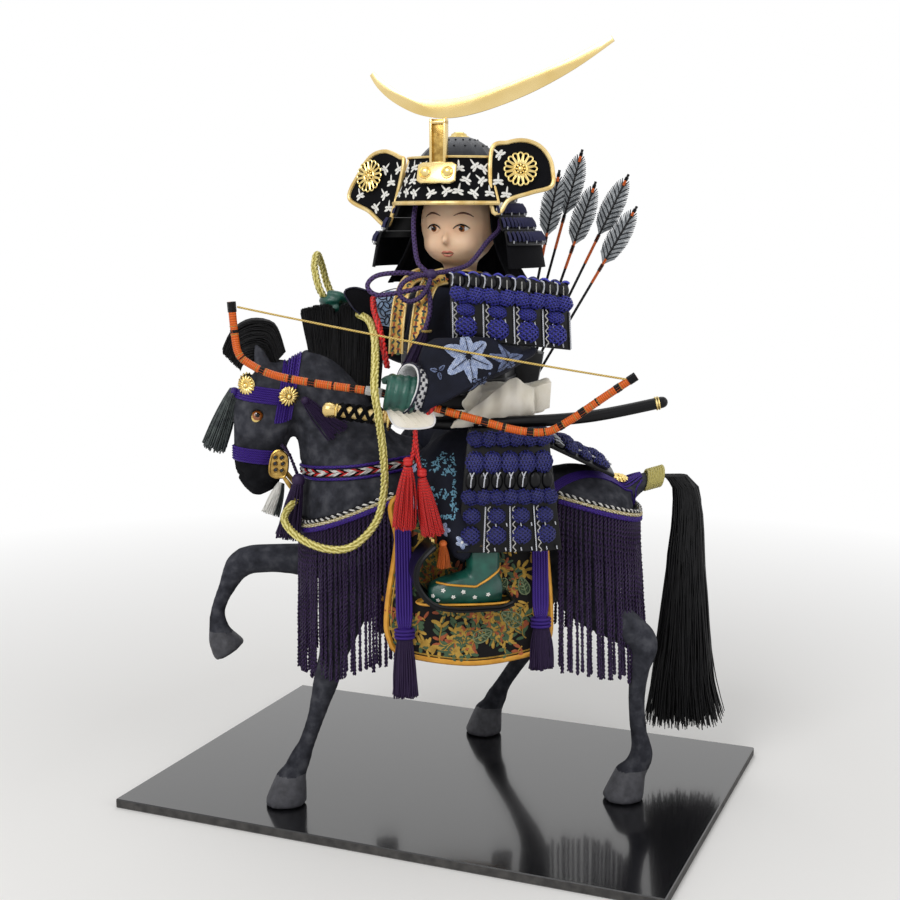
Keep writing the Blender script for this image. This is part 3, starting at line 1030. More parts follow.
for side, word in ((-1, "left"), (1, "right")):
    place = flapPlace(side)
    y = side * (flapStyle["thick"] / 2 + 0.15 * mm)
    parts = [(sheetFrom(flapOutline, flapStyle["thick"], 0.4 * mm, place), 0)]
    rim = closedLine([Vector((x, 0, z)) for x, z in flapOutline], 2 * mm)
    parts.append((cordMesh([[place @ p for p in rim]], flapStyle["piping"], 2, closed=True), 1))
    inset = [place @ Vector((p.x * 0.95 + 0.0003, y, (p.z + 0.052) * 0.95 - 0.052)) for p in rim]
    parts.append((cordMesh([inset], 0.5 * mm, 0, closed=True), 2))
    out = place.to_3x3() @ Vector((0, side, 0))
    vines, leaves = [], bmesh.new()
    for k in range(78):   # stems wander over the brocade, and leaves stand along them on both sides
        spot = Vector((-0.0375 + 0.08 * random.random() ** 1.2, y, -0.095 + 0.085 * random.random() ** 1.35))
        heading = random.uniform(0, math.tau)
        line = []
        for n in range(16):
            heading += 1.1 * noise.noise(Vector((spot.x * 70, spot.z * 70, k * 3.7))) + 0.1 * (-1) ** k
            spot = spot + Vector((math.cos(heading), 0, math.sin(heading))) * 1.3 * mm
            edgeGap = min((Vector((spot.x, 0, spot.z)) - p).length for p in rim)
            if edgeGap < 3.6 * mm or not (-0.101 < spot.z < -0.003 and -0.045 < spot.x < 0.052):
                break
            line.append(place @ spot)
            if n % 2:
                for lean in (-1, 1):
                    turn = heading + lean * random.uniform(0.7, 1.2)
                    along = place.to_3x3() @ Vector((math.cos(turn), 0, math.sin(turn)))
                    long, wide = random.uniform(4.2, 6.4) * mm, random.uniform(1.7, 2.5) * mm
                    basis = Matrix((along, out.cross(along), out)).transposed().to_4x4()
                    middle = line[-1] + along * long * 0.5 + out * 0.12 * mm * random.random()
                    leafPlace = Matrix.Translation(middle) @ basis @ Matrix.Diagonal((long / 2, wide / 2, 1,
                            1))
                    shape = bmesh.ops.create_circle(leaves, cap_ends=True, cap_tris=True, segments=8,
                            radius=1, matrix=leafPlace)["verts"]
                    for vert in shape:
                        if len(vert.link_edges) > 3:
                            vert.co += out * 0.45 * mm
                    for face in {f for v in shape for f in v.link_faces}:
                        face.material_index = (0, 0, 1, 0, 1, 2, 1)[(k + n // 4) % 7]
        if len(line) > 3:
            vines.append(line)
    veins = []
    for x, z, turn, long in ((0.022, -0.06, 0.9, 0.017), (0.03, -0.078, 2.6, 0.014),
                             (0.012, -0.088, 0.4, 0.012), (0.038, -0.058, 1.9, 0.011),
                             (0.0, -0.02, 2.2, 0.012), (0.036, -0.03, 1.0, 0.013)):
        # large green leaves with an outline and veins
        along = place.to_3x3() @ Vector((math.cos(turn), 0, math.sin(turn)))
        across, middle = out.cross(along), place @ Vector((x, y, z)) + out * 0.45 * mm
        rimOf = [middle + along * long / 2 * math.cos(a) + across * long * 0.3 * math.sin(a)
                 * (1 - 0.35 * math.cos(a)) for a in ringAngles(24)]
        made = [leaves.verts.new(p - out * 0.1 * mm) for p in rimOf]
        leaves.faces.new(made).material_index = 3
        veins += [rimOf + [rimOf[0]], [middle - along * long * 0.55, middle + along * long * 0.48]]
        veins += [[middle + along * long * s,
                   middle + along * long * (s + 0.13) + across * long * 0.2 * turnTo] for s in (-0.25, -0.05,
                           0.15) for turnTo in (-1, 1)]
    for face in leaves.faces:
        if face.normal.y * side < 0:
            face.normal_flip()
    leafMesh = meshFrom(leaves)
    piece(f"saddle_flap_leaves_{word}", joinMeshes((leafMesh, None), (cordMesh(veins, 0.4 * mm), 4)),
          [weftGold, weftGreen, weftRust, weftMoss, weftSage], sharp=None)
    parts.append((cordMesh(vines, 0.4 * mm, 0), 2))
    piece(f"saddle_flap_brocade_{word}", joinMeshes(*parts), [brocadeBlack, orangePiping, weftGold],
          [f"saddle_flap_{word}"])

# ties over the flaps: six cords side by side, knotted above a tassel
tieStyle = {"width": 10.0 * mm, "cords": 6, "frontTassel": 36 * mm, "rearTassel": 26 * mm}
for side, word in ((-1, "left"), (1, "right")):
    place = flapPlace(side)
    for where, x, length, tassel in (("front", -0.0365, 0.08, tieStyle["frontTassel"]),
                                     ("rear", 0.048, 0.076, tieStyle["rearTassel"])):
        y = side * 4.9 * mm
        lines = []
        for k in range(tieStyle["cords"]):
            off = (k - (tieStyle["cords"] - 1) / 2) * tieStyle["width"] / tieStyle["cords"]
            gather = 0.55
            lines.append([place @ p for p in smoothLine([Vector((x + off, y, -0.004)),
                    Vector((x + off, y, -0.004 - length * 0.5)), Vector((x + off, y, -length * 0.93)),
                          Vector((x + off * gather, y, -length - 0.003))], 4 * mm)])
        knotAt = place @ Vector((x, y, -length - 0.0045))
        knot = [(ballMesh([knotAt], (5.6 * mm, 3.6 * mm, 3.6 * mm), 16, 10), 0)]
        bands = [[knotAt + Vector((5.6 * math.cos(a), 3.5 * math.sin(a), dz)) * mm for a in ringAngles(28)]
                 for dz in (-2.2, 0.0, 2.2)]
        knot.append((cordMesh(bands, 1.0 * mm, 1, closed=True), 0))
        down = place.to_3x3() @ Vector((0, 0, -1))
        threads = tasselLines(knotAt + down * 2 * mm, down, tassel + 1 * mm, 0.0078, 130, 0.55, 0.55)
        threads = [[Vector((p.x, p.y, p.z)) for p in line] for line in threads]
        strands = cordMesh(threads, 0.6 * mm)
        piece(f"{where}_tie_braided_{word}", joinMeshes((cordMesh(lines, 0.92 * mm, 1), 0), *knot,
                (strands, 1)), [purpleBraid, purpleDark], [f"{where}_tie_{word}"], sharp=None)
print("saddle ready")


# trousers, boots and stirrups
trouserMesh = softened(cadMesh("trousers"), 1.7 * mm, 8)
creased(trouserMesh, 2.2 * mm, 0.014, (0.1, 0, 1), 3.1)
creased(trouserMesh, 0.9 * mm, 0.006, (0.2, 0, 1), 8.4)
trouserTree = surfaceOf(trouserMesh)
flowers = bmesh.new()
for side in (-1, 1):
    for x, z in ((-0.03, 0.216), (0.01, 0.19), (-0.014, 0.184), (-0.004, 0.177), (0.012, 0.212),
                 (0.022, 0.199), (-0.03, 0.198)):
        hit, normal, _, _ = trouserTree.ray_cast(at(x, side * 0.13, z), Vector((0, -side, 0)))
        if hit is not None and abs(normal.y) > 0.3:
            flowerOn(flowers, trouserTree, hit, normal, 0.0085, 5, x * 90, heart=1)
for k in range(420):   # a spray of small pale leaves over the thigh
    x, z = -0.016 + 0.02 * (random.random() - 0.5), 0.19 + 0.042 * random.random()
    if noise.noise(Vector((x * 120, z * 120, 7))) < -0.08:
        continue
    hit, normal, _, _ = trouserTree.ray_cast(at(x, -0.13, z), Vector((0, 1, 0)))
    if hit is not None:
        turn = Matrix.Rotation(random.uniform(0, 6), 3, normal) @ normal.orthogonal()
        petalOn(flowers, trouserTree, hit, turn, normal, random.uniform(1.6, 2.6) * mm, 0.9 * mm, 0.3 * mm,
                0.2 * mm, 2, 6)
piece("trousers_cloth", trouserMesh, clothNavy, ["trousers"], sharp=None)
piece("trousers_flowers", meshFrom(flowers), [weftBlue, stitchWhite, weftCyan], sharp=None)

for side, word in ((-1, "left"), (1, "right")):
    out = side * 0.077
    bootMesh = softened(cadMesh(f"boot_{word}"), 1.1 * mm, 5)
    creased(bootMesh, 0.7 * mm, 0.007, (0.3, 0, 1), 5 + side)
    bootTree = surfaceOf(bootMesh)
    dots = bmesh.new()
    for k, (x, z) in enumerate(((-0.021, 0.144), (-0.015, 0.1475), (-0.009, 0.1435), (-0.003, 0.1465),
                                (0.004, 0.143), (-0.018, 0.1415), (0.012, 0.1445))):
        hit, normal, _, _ = bootTree.ray_cast(at(x, side * 0.13, z), Vector((0, -side, 0)))
        if hit is not None:
            flowerOn(dots, bootTree, hit, normal, 0.0026, 5, k, 0.2 * mm)
    seam = []
    for angle in range(0, 361, 6):
        a = math.radians(angle)
        hit, normal, _, _ = bootTree.ray_cast(at(0.009 + 0.03 * math.cos(a), out + 0.03 * math.sin(a),
                0.1745), Vector((-math.cos(a), -math.sin(a), 0)))
        if hit is not None:
            seam.append(hit + normal * 0.5 * mm)
    front = []
    for n in range(30):   # the piped opening runs down from the ankle to the instep and back up
        t = n / 29
        x, z = (-0.0185 + 0.031 * t, 0.1513 - 0.0028 * t) if t < 0.75 else (0.0048 + 0.062 * (t - 0.75),
                0.1492 + 0.04 * (t - 0.75))
        hit, normal, _, _ = bootTree.ray_cast(at(x, side * 0.13, z), Vector((0, -side, 0)))
        if hit is not None:
            front.append(hit + normal * 0.4 * mm)
    sole = [at(x, out + y, 0.1385) for x, y in ((-0.03, 0), (-0.0265, 0.0062), (-0.016, 0.0088), (0, 0.0102),
            (0.015, 0.0098), (0.0245, 0.0068), (0.0285, 0), (0.0245, -0.0068), (0.015, -0.0098),
                                                (0, -0.0102), (-0.016, -0.0088), (-0.0265, -0.0062))]
    lines = [seam] + ([front] if len(front) > 4 else [])
    piece(f"boot_leather_{word}", joinMeshes((bootMesh, 0), (meshFrom(dots), 1),
            (cordMesh(lines, 0.75 * mm, 0), 2),
                                             (cordMesh([closedLine(sole, 2 * mm)], 0.9 * mm, 0, closed=True),
                                                     2)),
          [leatherGreen, stitchWhite, orangePiping], [f"boot_{word}"], sharp=None)

    floorZ = 0.1375 - 0.0004
    profile = [Vector((x, 0, floorZ + z)) for x, z in ((0.027, 0.003), (0.02, 0.0004), (0.012, 0),
            (-0.008, 0), (-0.022, 0.004), (-0.0305, 0.016), (-0.029, 0.028), (-0.02, 0.038))]
    line = smoothLine(profile, 1.5 * mm)
    bm = bmesh.new()
    verts = [bm.verts.new(at(p.x, out - 0.0128, p.z)) for p in line]
    edges = [bm.edges.new(pair) for pair in zip(verts, verts[1:])]
    made = bmesh.ops.extrude_edge_only(bm, edges=edges)["geom"]
    bmesh.ops.translate(bm, vec=(0, 0.0256, 0), verts=[g for g in made if isinstance(g, bmesh.types.BMVert)])
    bmesh.ops.subdivide_edges(bm, edges=[e for e in bm.edges
                                         if abs(e.verts[0].co.y - e.verts[1].co.y) > 0.01], cuts=6,
                                         use_grid_fill=True)
    for vert in bm.verts:   # the tread bows down a little across its width
        vert.co.z -= 0.5 * mm * (1 - ((vert.co.y - out) / 0.0128) ** 2)
    bmesh.ops.recalc_face_normals(bm, faces=bm.faces)
    if sum(f.normal.z * f.calc_area() for f in bm.faces) > 0:
        bmesh.ops.reverse_faces(bm, faces=bm.faces[:])
    bmesh.ops.solidify(bm, geom=bm.faces[:], thickness=-2.4 * mm)
    tread = meshFrom(bm)
    treadTree = surfaceOf(tread)
    deco = bmesh.new()
    for k, (x, z, y) in enumerate(((-0.03, 0.156, 0.004), (-0.0305, 0.15, -0.006), (-0.028, 0.163, -0.004),
                                   (-0.024, 0.1455, 0.003),
                                   (-0.0315, 0.155, -0.001), (-0.027, 0.169, 0.003))):
        hit, normal, _, _ = treadTree.ray_cast(at(-0.06, out + y, z), Vector((1, 0, -0.15)).normalized())
        if hit is not None:
            flowerOn(deco, treadTree, hit, normal, 0.0046, 5, k, 0.2 * mm)
    for k in range(46):   # strokes of silver leaf brushed along the hook
        t = random.uniform(0.0, 0.6)
        p = line[-1 - int(t * (len(line) - 1))]
        deco.faces.ensure_lookup_table()
        hit, normal, _, _ = treadTree.find_nearest(at(p.x, out, p.z) + Vector((-4, random.uniform(-12, 12),
                2)) * mm)
        petalOn(deco, treadTree, hit, Vector((0.3, 0, 1)), normal, random.uniform(3, 6) * mm, 0.8 * mm,
                0.2 * mm, 0.1 * mm, 0, 6)
    rims = [[at(p.x, out + y, p.z) for p in line] for y in (-0.0128, 0.0128)]
    rims.append([at(line[0].x, out + y, line[0].z) for y in (-0.0128, 0, 0.0128)])
    strap = smoothLine([at(-0.02, out, floorZ + 0.0375), at(-0.0175, side * 0.076, floorZ + 0.05),
                        at(-0.015, side * 0.073, 0.199)], 2 * mm)
    buckle = [at(-0.0205, out + 4.6 * mm * math.cos(a), floorZ + 0.04 + 3.4 * mm * math.sin(a))
              for a in ringAngles(20)]
    piece(f"stirrup_lacquered_{word}", joinMeshes((tread, 0), (meshFrom(deco), 1),
            (cordMesh(rims, 1.2 * mm, 1), 0), (cordMesh([strap], 2.1 * mm, 1), 2),
                                                  (cordMesh([buckle], 1.1 * mm, 1, closed=True), 3)),
          [lacquerMatt, stitchWhite, orangeCord, giltCast], [f"stirrup_{word}"])
    tuftTop = at(-0.015, side * 0.085, 0.176)
    tufts = tasselLines(tuftTop, (0.05, 0, -1), 0.0145, 0.0042, 60)
    piece(f"stirrup_tassel_{word}", joinMeshes((cordMesh(tufts, 0.42 * mm), 0),
            (ballMesh([tuftTop], (2.4 * mm, 2.2 * mm, 2.2 * mm), 12, 8), 0)), [orangeCord],
            sharp=None)
print("legs ready")


# the trunk: padded robe, armour over it, and the gilded leather of the collar
robeMesh = softened(cadMesh("torso"), 1.8 * mm, 6)
robeTree = surfaceOf(robeMesh)
piece("robe_trunk", robeMesh, clothNavy, ["torso"], sharp=None)

cuirassFoot = 0.25
lames = []
for row in range(5):
    ring = ringOn(robeTree, at(0.005, 0, cuirassFoot + 0.0085 * row), (0, 0, 1), 0, 360, 72, 2.6 * mm,
                  (1, 0, 0))
    lames.append(ring[:-1])
plateMesh = softened(cadMesh("cuirass"), 1.2 * mm, 3)
piece("cuirass_lames", joinMeshes((plateMesh, 0), (cordMesh(lames, 1.3 * mm, 1, closed=True), 0)),
      lacquerMatt, ["cuirass"], sharp=None)

bands, sprigs = [], bmesh.new()
for knots, out in ((((-0.019, -0.018, 0.3325), (-0.0245, -0.022, 0.331), (-0.03, -0.027, 0.327),
                     (-0.0345, -0.032, 0.3165), (-0.037, -0.036, 0.301), (-0.038, -0.038, 0.285)),
                     (-0.62, -0.78, 0.1)),
                   (((-0.007, -0.033, 0.332), (-0.012, -0.036, 0.331), (-0.017, -0.039, 0.328),
                     (-0.022, -0.043, 0.3165), (-0.025, -0.046, 0.3), (-0.027, -0.048, 0.285)),
                     (-0.35, -0.92, 0.15))):
    line = smoothLine([at(*p) for p in knots], 2 * mm)
    out = Vector(out).normalized()
    band, rings, edges = bmesh.new(), [], [[], []]
    for i, place in enumerate(line):
        along = (line[min(i + 1, len(line) - 1)] - line[max(i - 1, 0)]).normalized()
        across = out.cross(along).normalized()
        verts = [band.verts.new(place + across * math.cos(a) * 4.8 * mm + out * math.sin(a) * 1.0 * mm)
                 for a in ringAngles(12)]
        rings.append([band.edges.new(pair) for pair in zip(verts, verts[1:] + verts[:1])])
        edges[0].append(place + across * 4.7 * mm + out * 0.4 * mm)
        edges[1].append(place - across * 4.7 * mm + out * 0.4 * mm)
        for lean in (-1, 1):   # small leaves stand on the gilded ground
            turn = Matrix.Rotation(i * 1.7 + lean, 3, out) @ across
            basis = Matrix((turn, out.cross(turn), out)).transposed().to_4x4()
            leaf = Matrix.Translation(place + across * lean * 2.0 * mm + out * 1.1
                                      * mm) @ basis @ Matrix.Diagonal((1.7 * mm, 0.75 * mm, 1, 1))
            made = bmesh.ops.create_circle(sprigs, cap_ends=True, segments=8, radius=1, matrix=leaf)["verts"]
            for face in {f for v in made for f in v.link_faces}:
                face.material_index = (0, 1, 2)[(i + lean) % 3]
                if face.normal.dot(out) < 0:
                    face.normal_flip()
    for ring, after in zip(rings, rings[1:]):
        bmesh.ops.bridge_loops(band, edges=ring + after)
    bands += [(meshFrom(band), 0), (cordMesh(edges, 0.75 * mm, 1), 1)]
piece("collar_gilded_leather", joinMeshes(*bands), [leatherGold, goldPiping], sharp=None)
piece("collar_sprigs", meshFrom(sprigs), [weftGreen, weftRust, navyDark], sharp=None)

# light blue brocade on the breast, its leaves outlined in navy, and the far sleeve's end with its red cord
patchShape = [(-0.049, 0.318), (-0.042, 0.323), (-0.033, 0.3225), (-0.0335, 0.305), (-0.039, 0.3),
              (-0.0475, 0.302)]
patchMesh = sheetFrom(patchShape, 1.6 * mm, 0.5 * mm, Matrix.Translation(at(0, -0.023, 0)))
veins = [closedLine([at(x, -0.024, z) for x, z in patchShape], 2 * mm)]
for k in range(4):
    for n in range(4):
        middle = at(-0.0462 + 0.0038 * k + 0.0012 * (n % 2), -0.0242, 0.3045 + 0.0048 * n)
        turn = k * 1.3 + n * 2.1
        veins.append([middle + Vector((math.cos(turn) * math.cos(a) * 2.6 - math.sin(turn) * math.sin(a)
                                       * 1.3, 0,
                                       math.sin(turn) * math.cos(a) * 2.6 + math.cos(turn) * math.sin(a)
                                       * 1.3)) * mm for a in (math.tau * i / 14 for i in range(15))])
piece("breast_leaves", joinMeshes((patchMesh, 0), (cordMesh(veins, 0.32 * mm), 1)), [weftPale, navyDark],
      sharp=None)
flapShape = [(-0.068, 0.3215), (-0.062, 0.3245), (-0.054, 0.3225), (-0.047, 0.318), (-0.0455, 0.301),
             (-0.051, 0.2985), (-0.056, 0.306), (-0.062, 0.311)]
sleeveEnd = sheetFrom(flapShape, 2.2 * mm, 0.6 * mm, Matrix.Translation(at(0, -0.012, 0)), 2 * mm)
edging = closedLine([at(x, -0.0134, z) for x, z in flapShape], 2 * mm)
redLine = smoothLine([at(-0.05, -0.015, 0.318), at(-0.0512, -0.035, 0.312), at(-0.0495, -0.056, 0.302),
                      at(-0.0478, -0.066, 0.29), at(-0.0462, -0.07, 0.28)], 1 * mm)
piece("sleeve_far_end", joinMeshes((sleeveEnd, 0), (cordMesh([edging], 0.6 * mm, 1, closed=True), 1),
                                   (cordMesh(twisted(redLine, 1.0 * mm, 6 * mm, 2), 1.15 * mm, 1), 2)),
      [clothBlack, navyDark, redSilk], sharp=None)

# the waist: an ivory cloth wound round and tucked at the side, with deep pleats
sashMesh = softened(cadMesh("sash"), 1.3 * mm, 5)
pleats = [vert.normal * math.sin((vert.co.z - lift) * 1000 / 2.6 + 3 * noise.noise(vert.co * 60)) * 0.9 * mm
          for vert in sashMesh.vertices]
for vert, move in zip(sashMesh.vertices, pleats):
    vert.co += move
creased(sashMesh, 1.0 * mm, 0.008, (1, 0, 0.1), 2.0)
fan = bmesh.new()
rows = []
for edge, foot in (([(-0.006, -0.0722, 0.247), (0.013, -0.072, 0.261), (0.029, -0.07, 0.2725),
                     (0.0365, -0.068, 0.269), (0.0425, -0.066, 0.266)], 0),
                   ([(-0.008, -0.07, 0.243), (0.006, -0.0695, 0.244), (0.02, -0.069, 0.245),
                     (0.032, -0.068, 0.246), (0.0425, -0.067, 0.247)], 1)):
    line = smoothLine([at(*p) for p in edge], 1.4 * mm)
    even = [line[round(i * (len(line) - 1) / 36)] + Vector((0, 0.8 * mm * math.sin(i * 0.8) - foot * mm, 0))
            for i in range(37)]
    verts = [fan.verts.new(p) for p in even]
    rows.append([fan.edges.new(pair) for pair in zip(verts, verts[1:])])
bmesh.ops.bridge_loops(fan, edges=rows[0] + rows[1])
bmesh.ops.recalc_face_normals(fan, faces=fan.faces)
bmesh.ops.solidify(fan, geom=fan.faces[:], thickness=1.0 * mm)
tuck = sheetFrom([(0.0405, 0.265), (0.0545, 0.269), (0.0535, 0.253), (0.04, 0.249)], 1.2 * mm, 0.4 * mm,
                 Matrix.Translation(at(0, -0.06, 0)))
piece("sash_pleated", joinMeshes((sashMesh, 0), (meshFrom(fan), 0), (tuck, 0)), clothIvory,
      ["sash"], sharp=None)
print("trunk ready")


# sleeves: the near one of flowered robe cloth, drawn up at its lower edge
sleeveMesh = softened(cadMesh("sleeve_left"), 1.5 * mm, 6)
for vert in sleeveMesh.vertices:
    under = 0.26 + 0.4786 * (vert.co.x + 0.0226) - (vert.co.z - lift)
    if under > 0 and vert.co.x > -0.03:
        vert.co.z += under * 0.86
        vert.co.y += (-0.079 - vert.co.y) * min(1, under / 0.02) * 0.5
for vert in sleeveMesh.vertices:   # the upper side fills out towards the shoulder
    share = min(1.0, max(0.0, (vert.co.x + 0.048) / 0.012)) * min(1.0, max(0.0, (0.03 - vert.co.x) / 0.03))
    above = vert.co.z - lift - (0.279 + 0.1 * vert.co.x)
    if above > 0:
        vert.co.z = min(vert.co.z + min(above, 0.01) * 1.35 * share,
                        max(vert.co.z, lift + min(0.2857 + 0.95 * (vert.co.x + 0.043), 0.2975)))
creased(sleeveMesh, 3.0 * mm, 0.016, (-0.95, -0.2, -0.1), 1.7)
creased(sleeveMesh, 1.3 * mm, 0.007, (-0.9, -0.2, -0.3), 6.2)
sleeveTree = surfaceOf(sleeveMesh)
flowers, veins = bmesh.new(), []
for x, z, size, petals, turn, index in ((-0.03, 0.285, 0.03, 5, 0.4, 0), (-0.001, 0.288, 0.032, 6, 0.9, 0),
                                        (0.023, 0.285, 0.024, 5, 0.2, 1), (0.006, 0.273, 0.018, 4, 1.2, 1),
                                        (0.04, 0.296, 0.018, 5, 0.7, 1), (-0.019, 0.28, 0.01, 3, 1.0, 1)):
    for side in (-1, 1):
        hit, normal, _, _ = sleeveTree.ray_cast(at(x, -0.069 + side * 0.06, z), Vector((0, -side, 0)))
        if hit is None or abs(normal.y) < 0.12:
            continue
        start = normal.orthogonal().normalized()
        for k in range(petals):   # slender pointed petals with a raised vein
            along = Matrix.Rotation(turn + math.tau * k / petals, 3, normal) @ start
            petalOn(flowers, sleeveTree, hit + along * size * 0.28, along, normal, size * 0.46, size * 0.21,
                    0.3 * mm, 0.4 * mm, index, 12)
            petalOn(flowers, sleeveTree, hit + along * size * 0.24, along, normal, size * 0.34, size * 0.26,
                    0.35 * mm, 0.4 * mm, index, 12)
            veins.append([laidOn(sleeveTree, hit + along * size * s, 0.9 * mm)[0] for s in (0.06, 0.18, 0.3,
                    0.4)])
piece("sleeve_near_cloth", sleeveMesh, clothNavy, ["sleeve_left"], sharp=None)
veinMesh = cordMesh(veins, 0.28 * mm)
piece("sleeve_near_flowers", joinMeshes((meshFrom(flowers), None), (veinMesh, 2)),
      [weftBlue, weftDim, navyDark], sharp=None)

farMesh = softened(cadMesh("sleeve_right"), 1.5 * mm, 6)
creased(farMesh, 2.4 * mm, 0.013, (-0.7, 0, 0.3), 4.4)
piece("sleeve_far_cloth", farMesh, clothNavy, ["sleeve_right"], sharp=None)

# the near cuff: a stiff white collar round the wrist, stitched in navy, over a red cord
cuffStyle = {"wrist": at(-0.0265, -0.085, 0.268), "mouth": at(-0.037, -0.089, 0.2705), "narrow": 12.2 * mm,
             "wide": 14.2 * mm}
axis = (cuffStyle["mouth"] - cuffStyle["wrist"]).normalized()
turnTo = axis.to_track_quat("Z", "Y").to_matrix()


def cuffRing(t, outBy, count, start=0.0, end=1.0):
    centre = cuffStyle["wrist"].lerp(cuffStyle["mouth"], t)
    radius = cuffStyle["narrow"] + (cuffStyle["wide"] - cuffStyle["narrow"]) * t + outBy
    return [centre + turnTo @ Vector((math.cos(a), math.sin(a),
                                      0)) * radius * (1 + 0.05 * t * math.sin(a * 3))
                                      for a in (math.tau * (start + (end - start) * k / count)
                                              for k in range(count))]


cuff = bmesh.new()
rings = []
for t in (0, 0.25, 0.5, 0.75, 1.0):
    verts = [cuff.verts.new(p) for p in cuffRing(t, 0, 48)]
    rings.append([cuff.edges.new(pair) for pair in zip(verts, verts[1:] + verts[:1])])
for inner, outer in zip(rings, rings[1:]):
    bmesh.ops.bridge_loops(cuff, edges=inner + outer)
bmesh.ops.recalc_face_normals(cuff, faces=cuff.faces)
bmesh.ops.solidify(cuff, geom=cuff.faces[:], thickness=1.1 * mm)
stripes = [cuffRing(t, 0.7 * mm, 60) for t in (0.1, 0.96)]
dashes = []
for row, t in enumerate((0.3, 0.5, 0.7, 0.86)):
    for k in range(18):
        begin = (k + 0.5 * (row % 2)) / 18
        dashes.append(cuffRing(t, 0.7 * mm, 4, begin, begin + 0.026))
underShape = [(-0.048, 0.26), (-0.036, 0.26), (-0.0225, 0.256), (-0.0215, 0.248), (-0.033, 0.2462),
              (-0.044, 0.2485)]
under = sheetFrom(underShape, 3.0 * mm, 0.8 * mm, Matrix.Translation(at(0, -0.09, 0)), 2 * mm)
underEdge = closedLine([at(x, -0.0916, z) for x, z in underShape], 2 * mm)
folds = [[at(-0.0475 + 0.004 * k, -0.0918, 0.259), at(-0.035 + 0.004 * k, -0.0922, 0.248)] for k in (0, 1, 2,
        3)]
piece("cuff_near", joinMeshes((meshFrom(cuff), 0), (under, 3),
                              (cordMesh(folds, 0.5 * mm, 1, lambda t: 1 - 0.5 * t), 3),
                              (cordMesh([underEdge], 0.6 * mm, 1, closed=True), 0),
                              (cordMesh(stripes, 0.55 * mm, 1, closed=True), 1),
                              (cordMesh(dashes, 0.75 * mm), 1),
                              (cordMesh([cuffRing(-0.22, 2.2 * mm, 60)], 1.5 * mm, 2, closed=True), 2),
                              (cordMesh([cuffRing(-0.06, 1.6 * mm, 60)], 1.1 * mm, 1, closed=True), 1)),
      [clothWhite, navyDark, redSilk, clothIvory], sharp=None)

# gloved hands: a palm with four fingers and a thumb closed round what they hold
handStyle = {"voxel": 0.8 * mm, "melt": 2}


def glove(name, node, palmAt, palmRadii, fingers, thick):
    bm = bmesh.new()
    bmesh.ops.create_uvsphere(bm, u_segments=20, v_segments=12, radius=1,
                              matrix=Matrix.Translation(palmAt) @ Matrix.Diagonal((*palmRadii, 1)))
    palm = meshFrom(bm)
    lines = [smoothLine(knots, 1.5 * mm) for knots in fingers]
    hand = softened(joinMeshes((palm, 0), (cordMesh(lines, thick, 2, lambda t: 1.05 - 0.2 * t), 0)),
                    handStyle["voxel"], handStyle["melt"])
    piece(name, hand, leatherGreen, [node], sharp=None)


palm = at(-0.0395, -0.0865, 0.2665)
fingers = []
for k in range(4):   # four fingers side by side along the bow, slanted like the grip
    x, z = -0.0475 + 0.0046 * k, -0.0006 * k
    fingers.append([at(x + 0.003, -0.085, 0.2755 + z), at(x + 0.0018, -0.0935, 0.2745 + z),
                    at(x, -0.0972, 0.268 + z), at(x - 0.0012, -0.0955, 0.2612 + z),
                    at(x - 0.001, -0.0885, 0.2585 + z)])
fingers.append([at(-0.035, -0.082, 0.27), at(-0.044, -0.082, 0.2745), at(-0.05, -0.086, 0.2735)])
glove("glove_near", "hand_left", palm, (0.009, 0.0078, 0.0086), fingers, 2.7 * mm)
fingers = []
for k in range(4):
    z = 0.316 - 0.0052 * k
    fingers.append([at(-0.066, 0.03, z), at(-0.074, 0.025, z), at(-0.08, 0.016, z - 0.001),
                    at(-0.077, 0.009, z - 0.001), at(-0.07, 0.008, z)])
fingers.append([at(-0.064, 0.012, 0.314), at(-0.07, 0.008, 0.3185), at(-0.077, 0.011, 0.3195)])
glove("glove_far", "hand_right", at(-0.066, 0.02, 0.309), (0.0105, 0.0088, 0.0095), fingers, 3.0 * mm)

# red silk cord that parts into two tassels, each bound at its neck
threads, knots, cords = [], [], []
for top, foot in ((at(-0.0361, -0.089, 0.2233), at(-0.0386, -0.089, 0.187)), (at(-0.0279, -0.089, 0.2166),
        at(-0.0214, -0.089, 0.1829))):
    threads += tasselLines(top, foot - top, (foot - top).length, 0.0068, 170)
    knots += [top + Vector((0, 0, z * mm)) for z in (2.2, 4.0)]
    cords.append(smoothLine([at(-0.0324, -0.089, 0.252), at(-0.0318, -0.09, 0.242),
                             top.lerp(at(-0.0318, -0.09, 0.234), 0.6), top + Vector((0, 0, 2 * mm))],
                             1 * mm))
strands = [ply for line in cords for ply in twisted(line, 0.75 * mm, 5 * mm, 2)]
piece("wrist_tassel_silk", joinMeshes((cordMesh(strands, 0.85 * mm, 1), 0), (cordMesh(threads, 0.42 * mm),
        0), (ballMesh(knots, (2.9 * mm, 2.7 * mm, 1.9 * mm), 14, 8), 0)),
      [redSilk], ["wrist_tassel"], sharp=None)
print("arms ready")
# laced armour: lacquered panels hung with braided rolls, pads, ribs and white stitches
def placed(point, yaw, pitch):   # a frame whose -Y looks out
    return Matrix.Translation(point) @ Matrix.Rotation(math.radians(yaw), 4,
            "Z") @ Matrix.Rotation(math.radians(pitch), 4, "X")


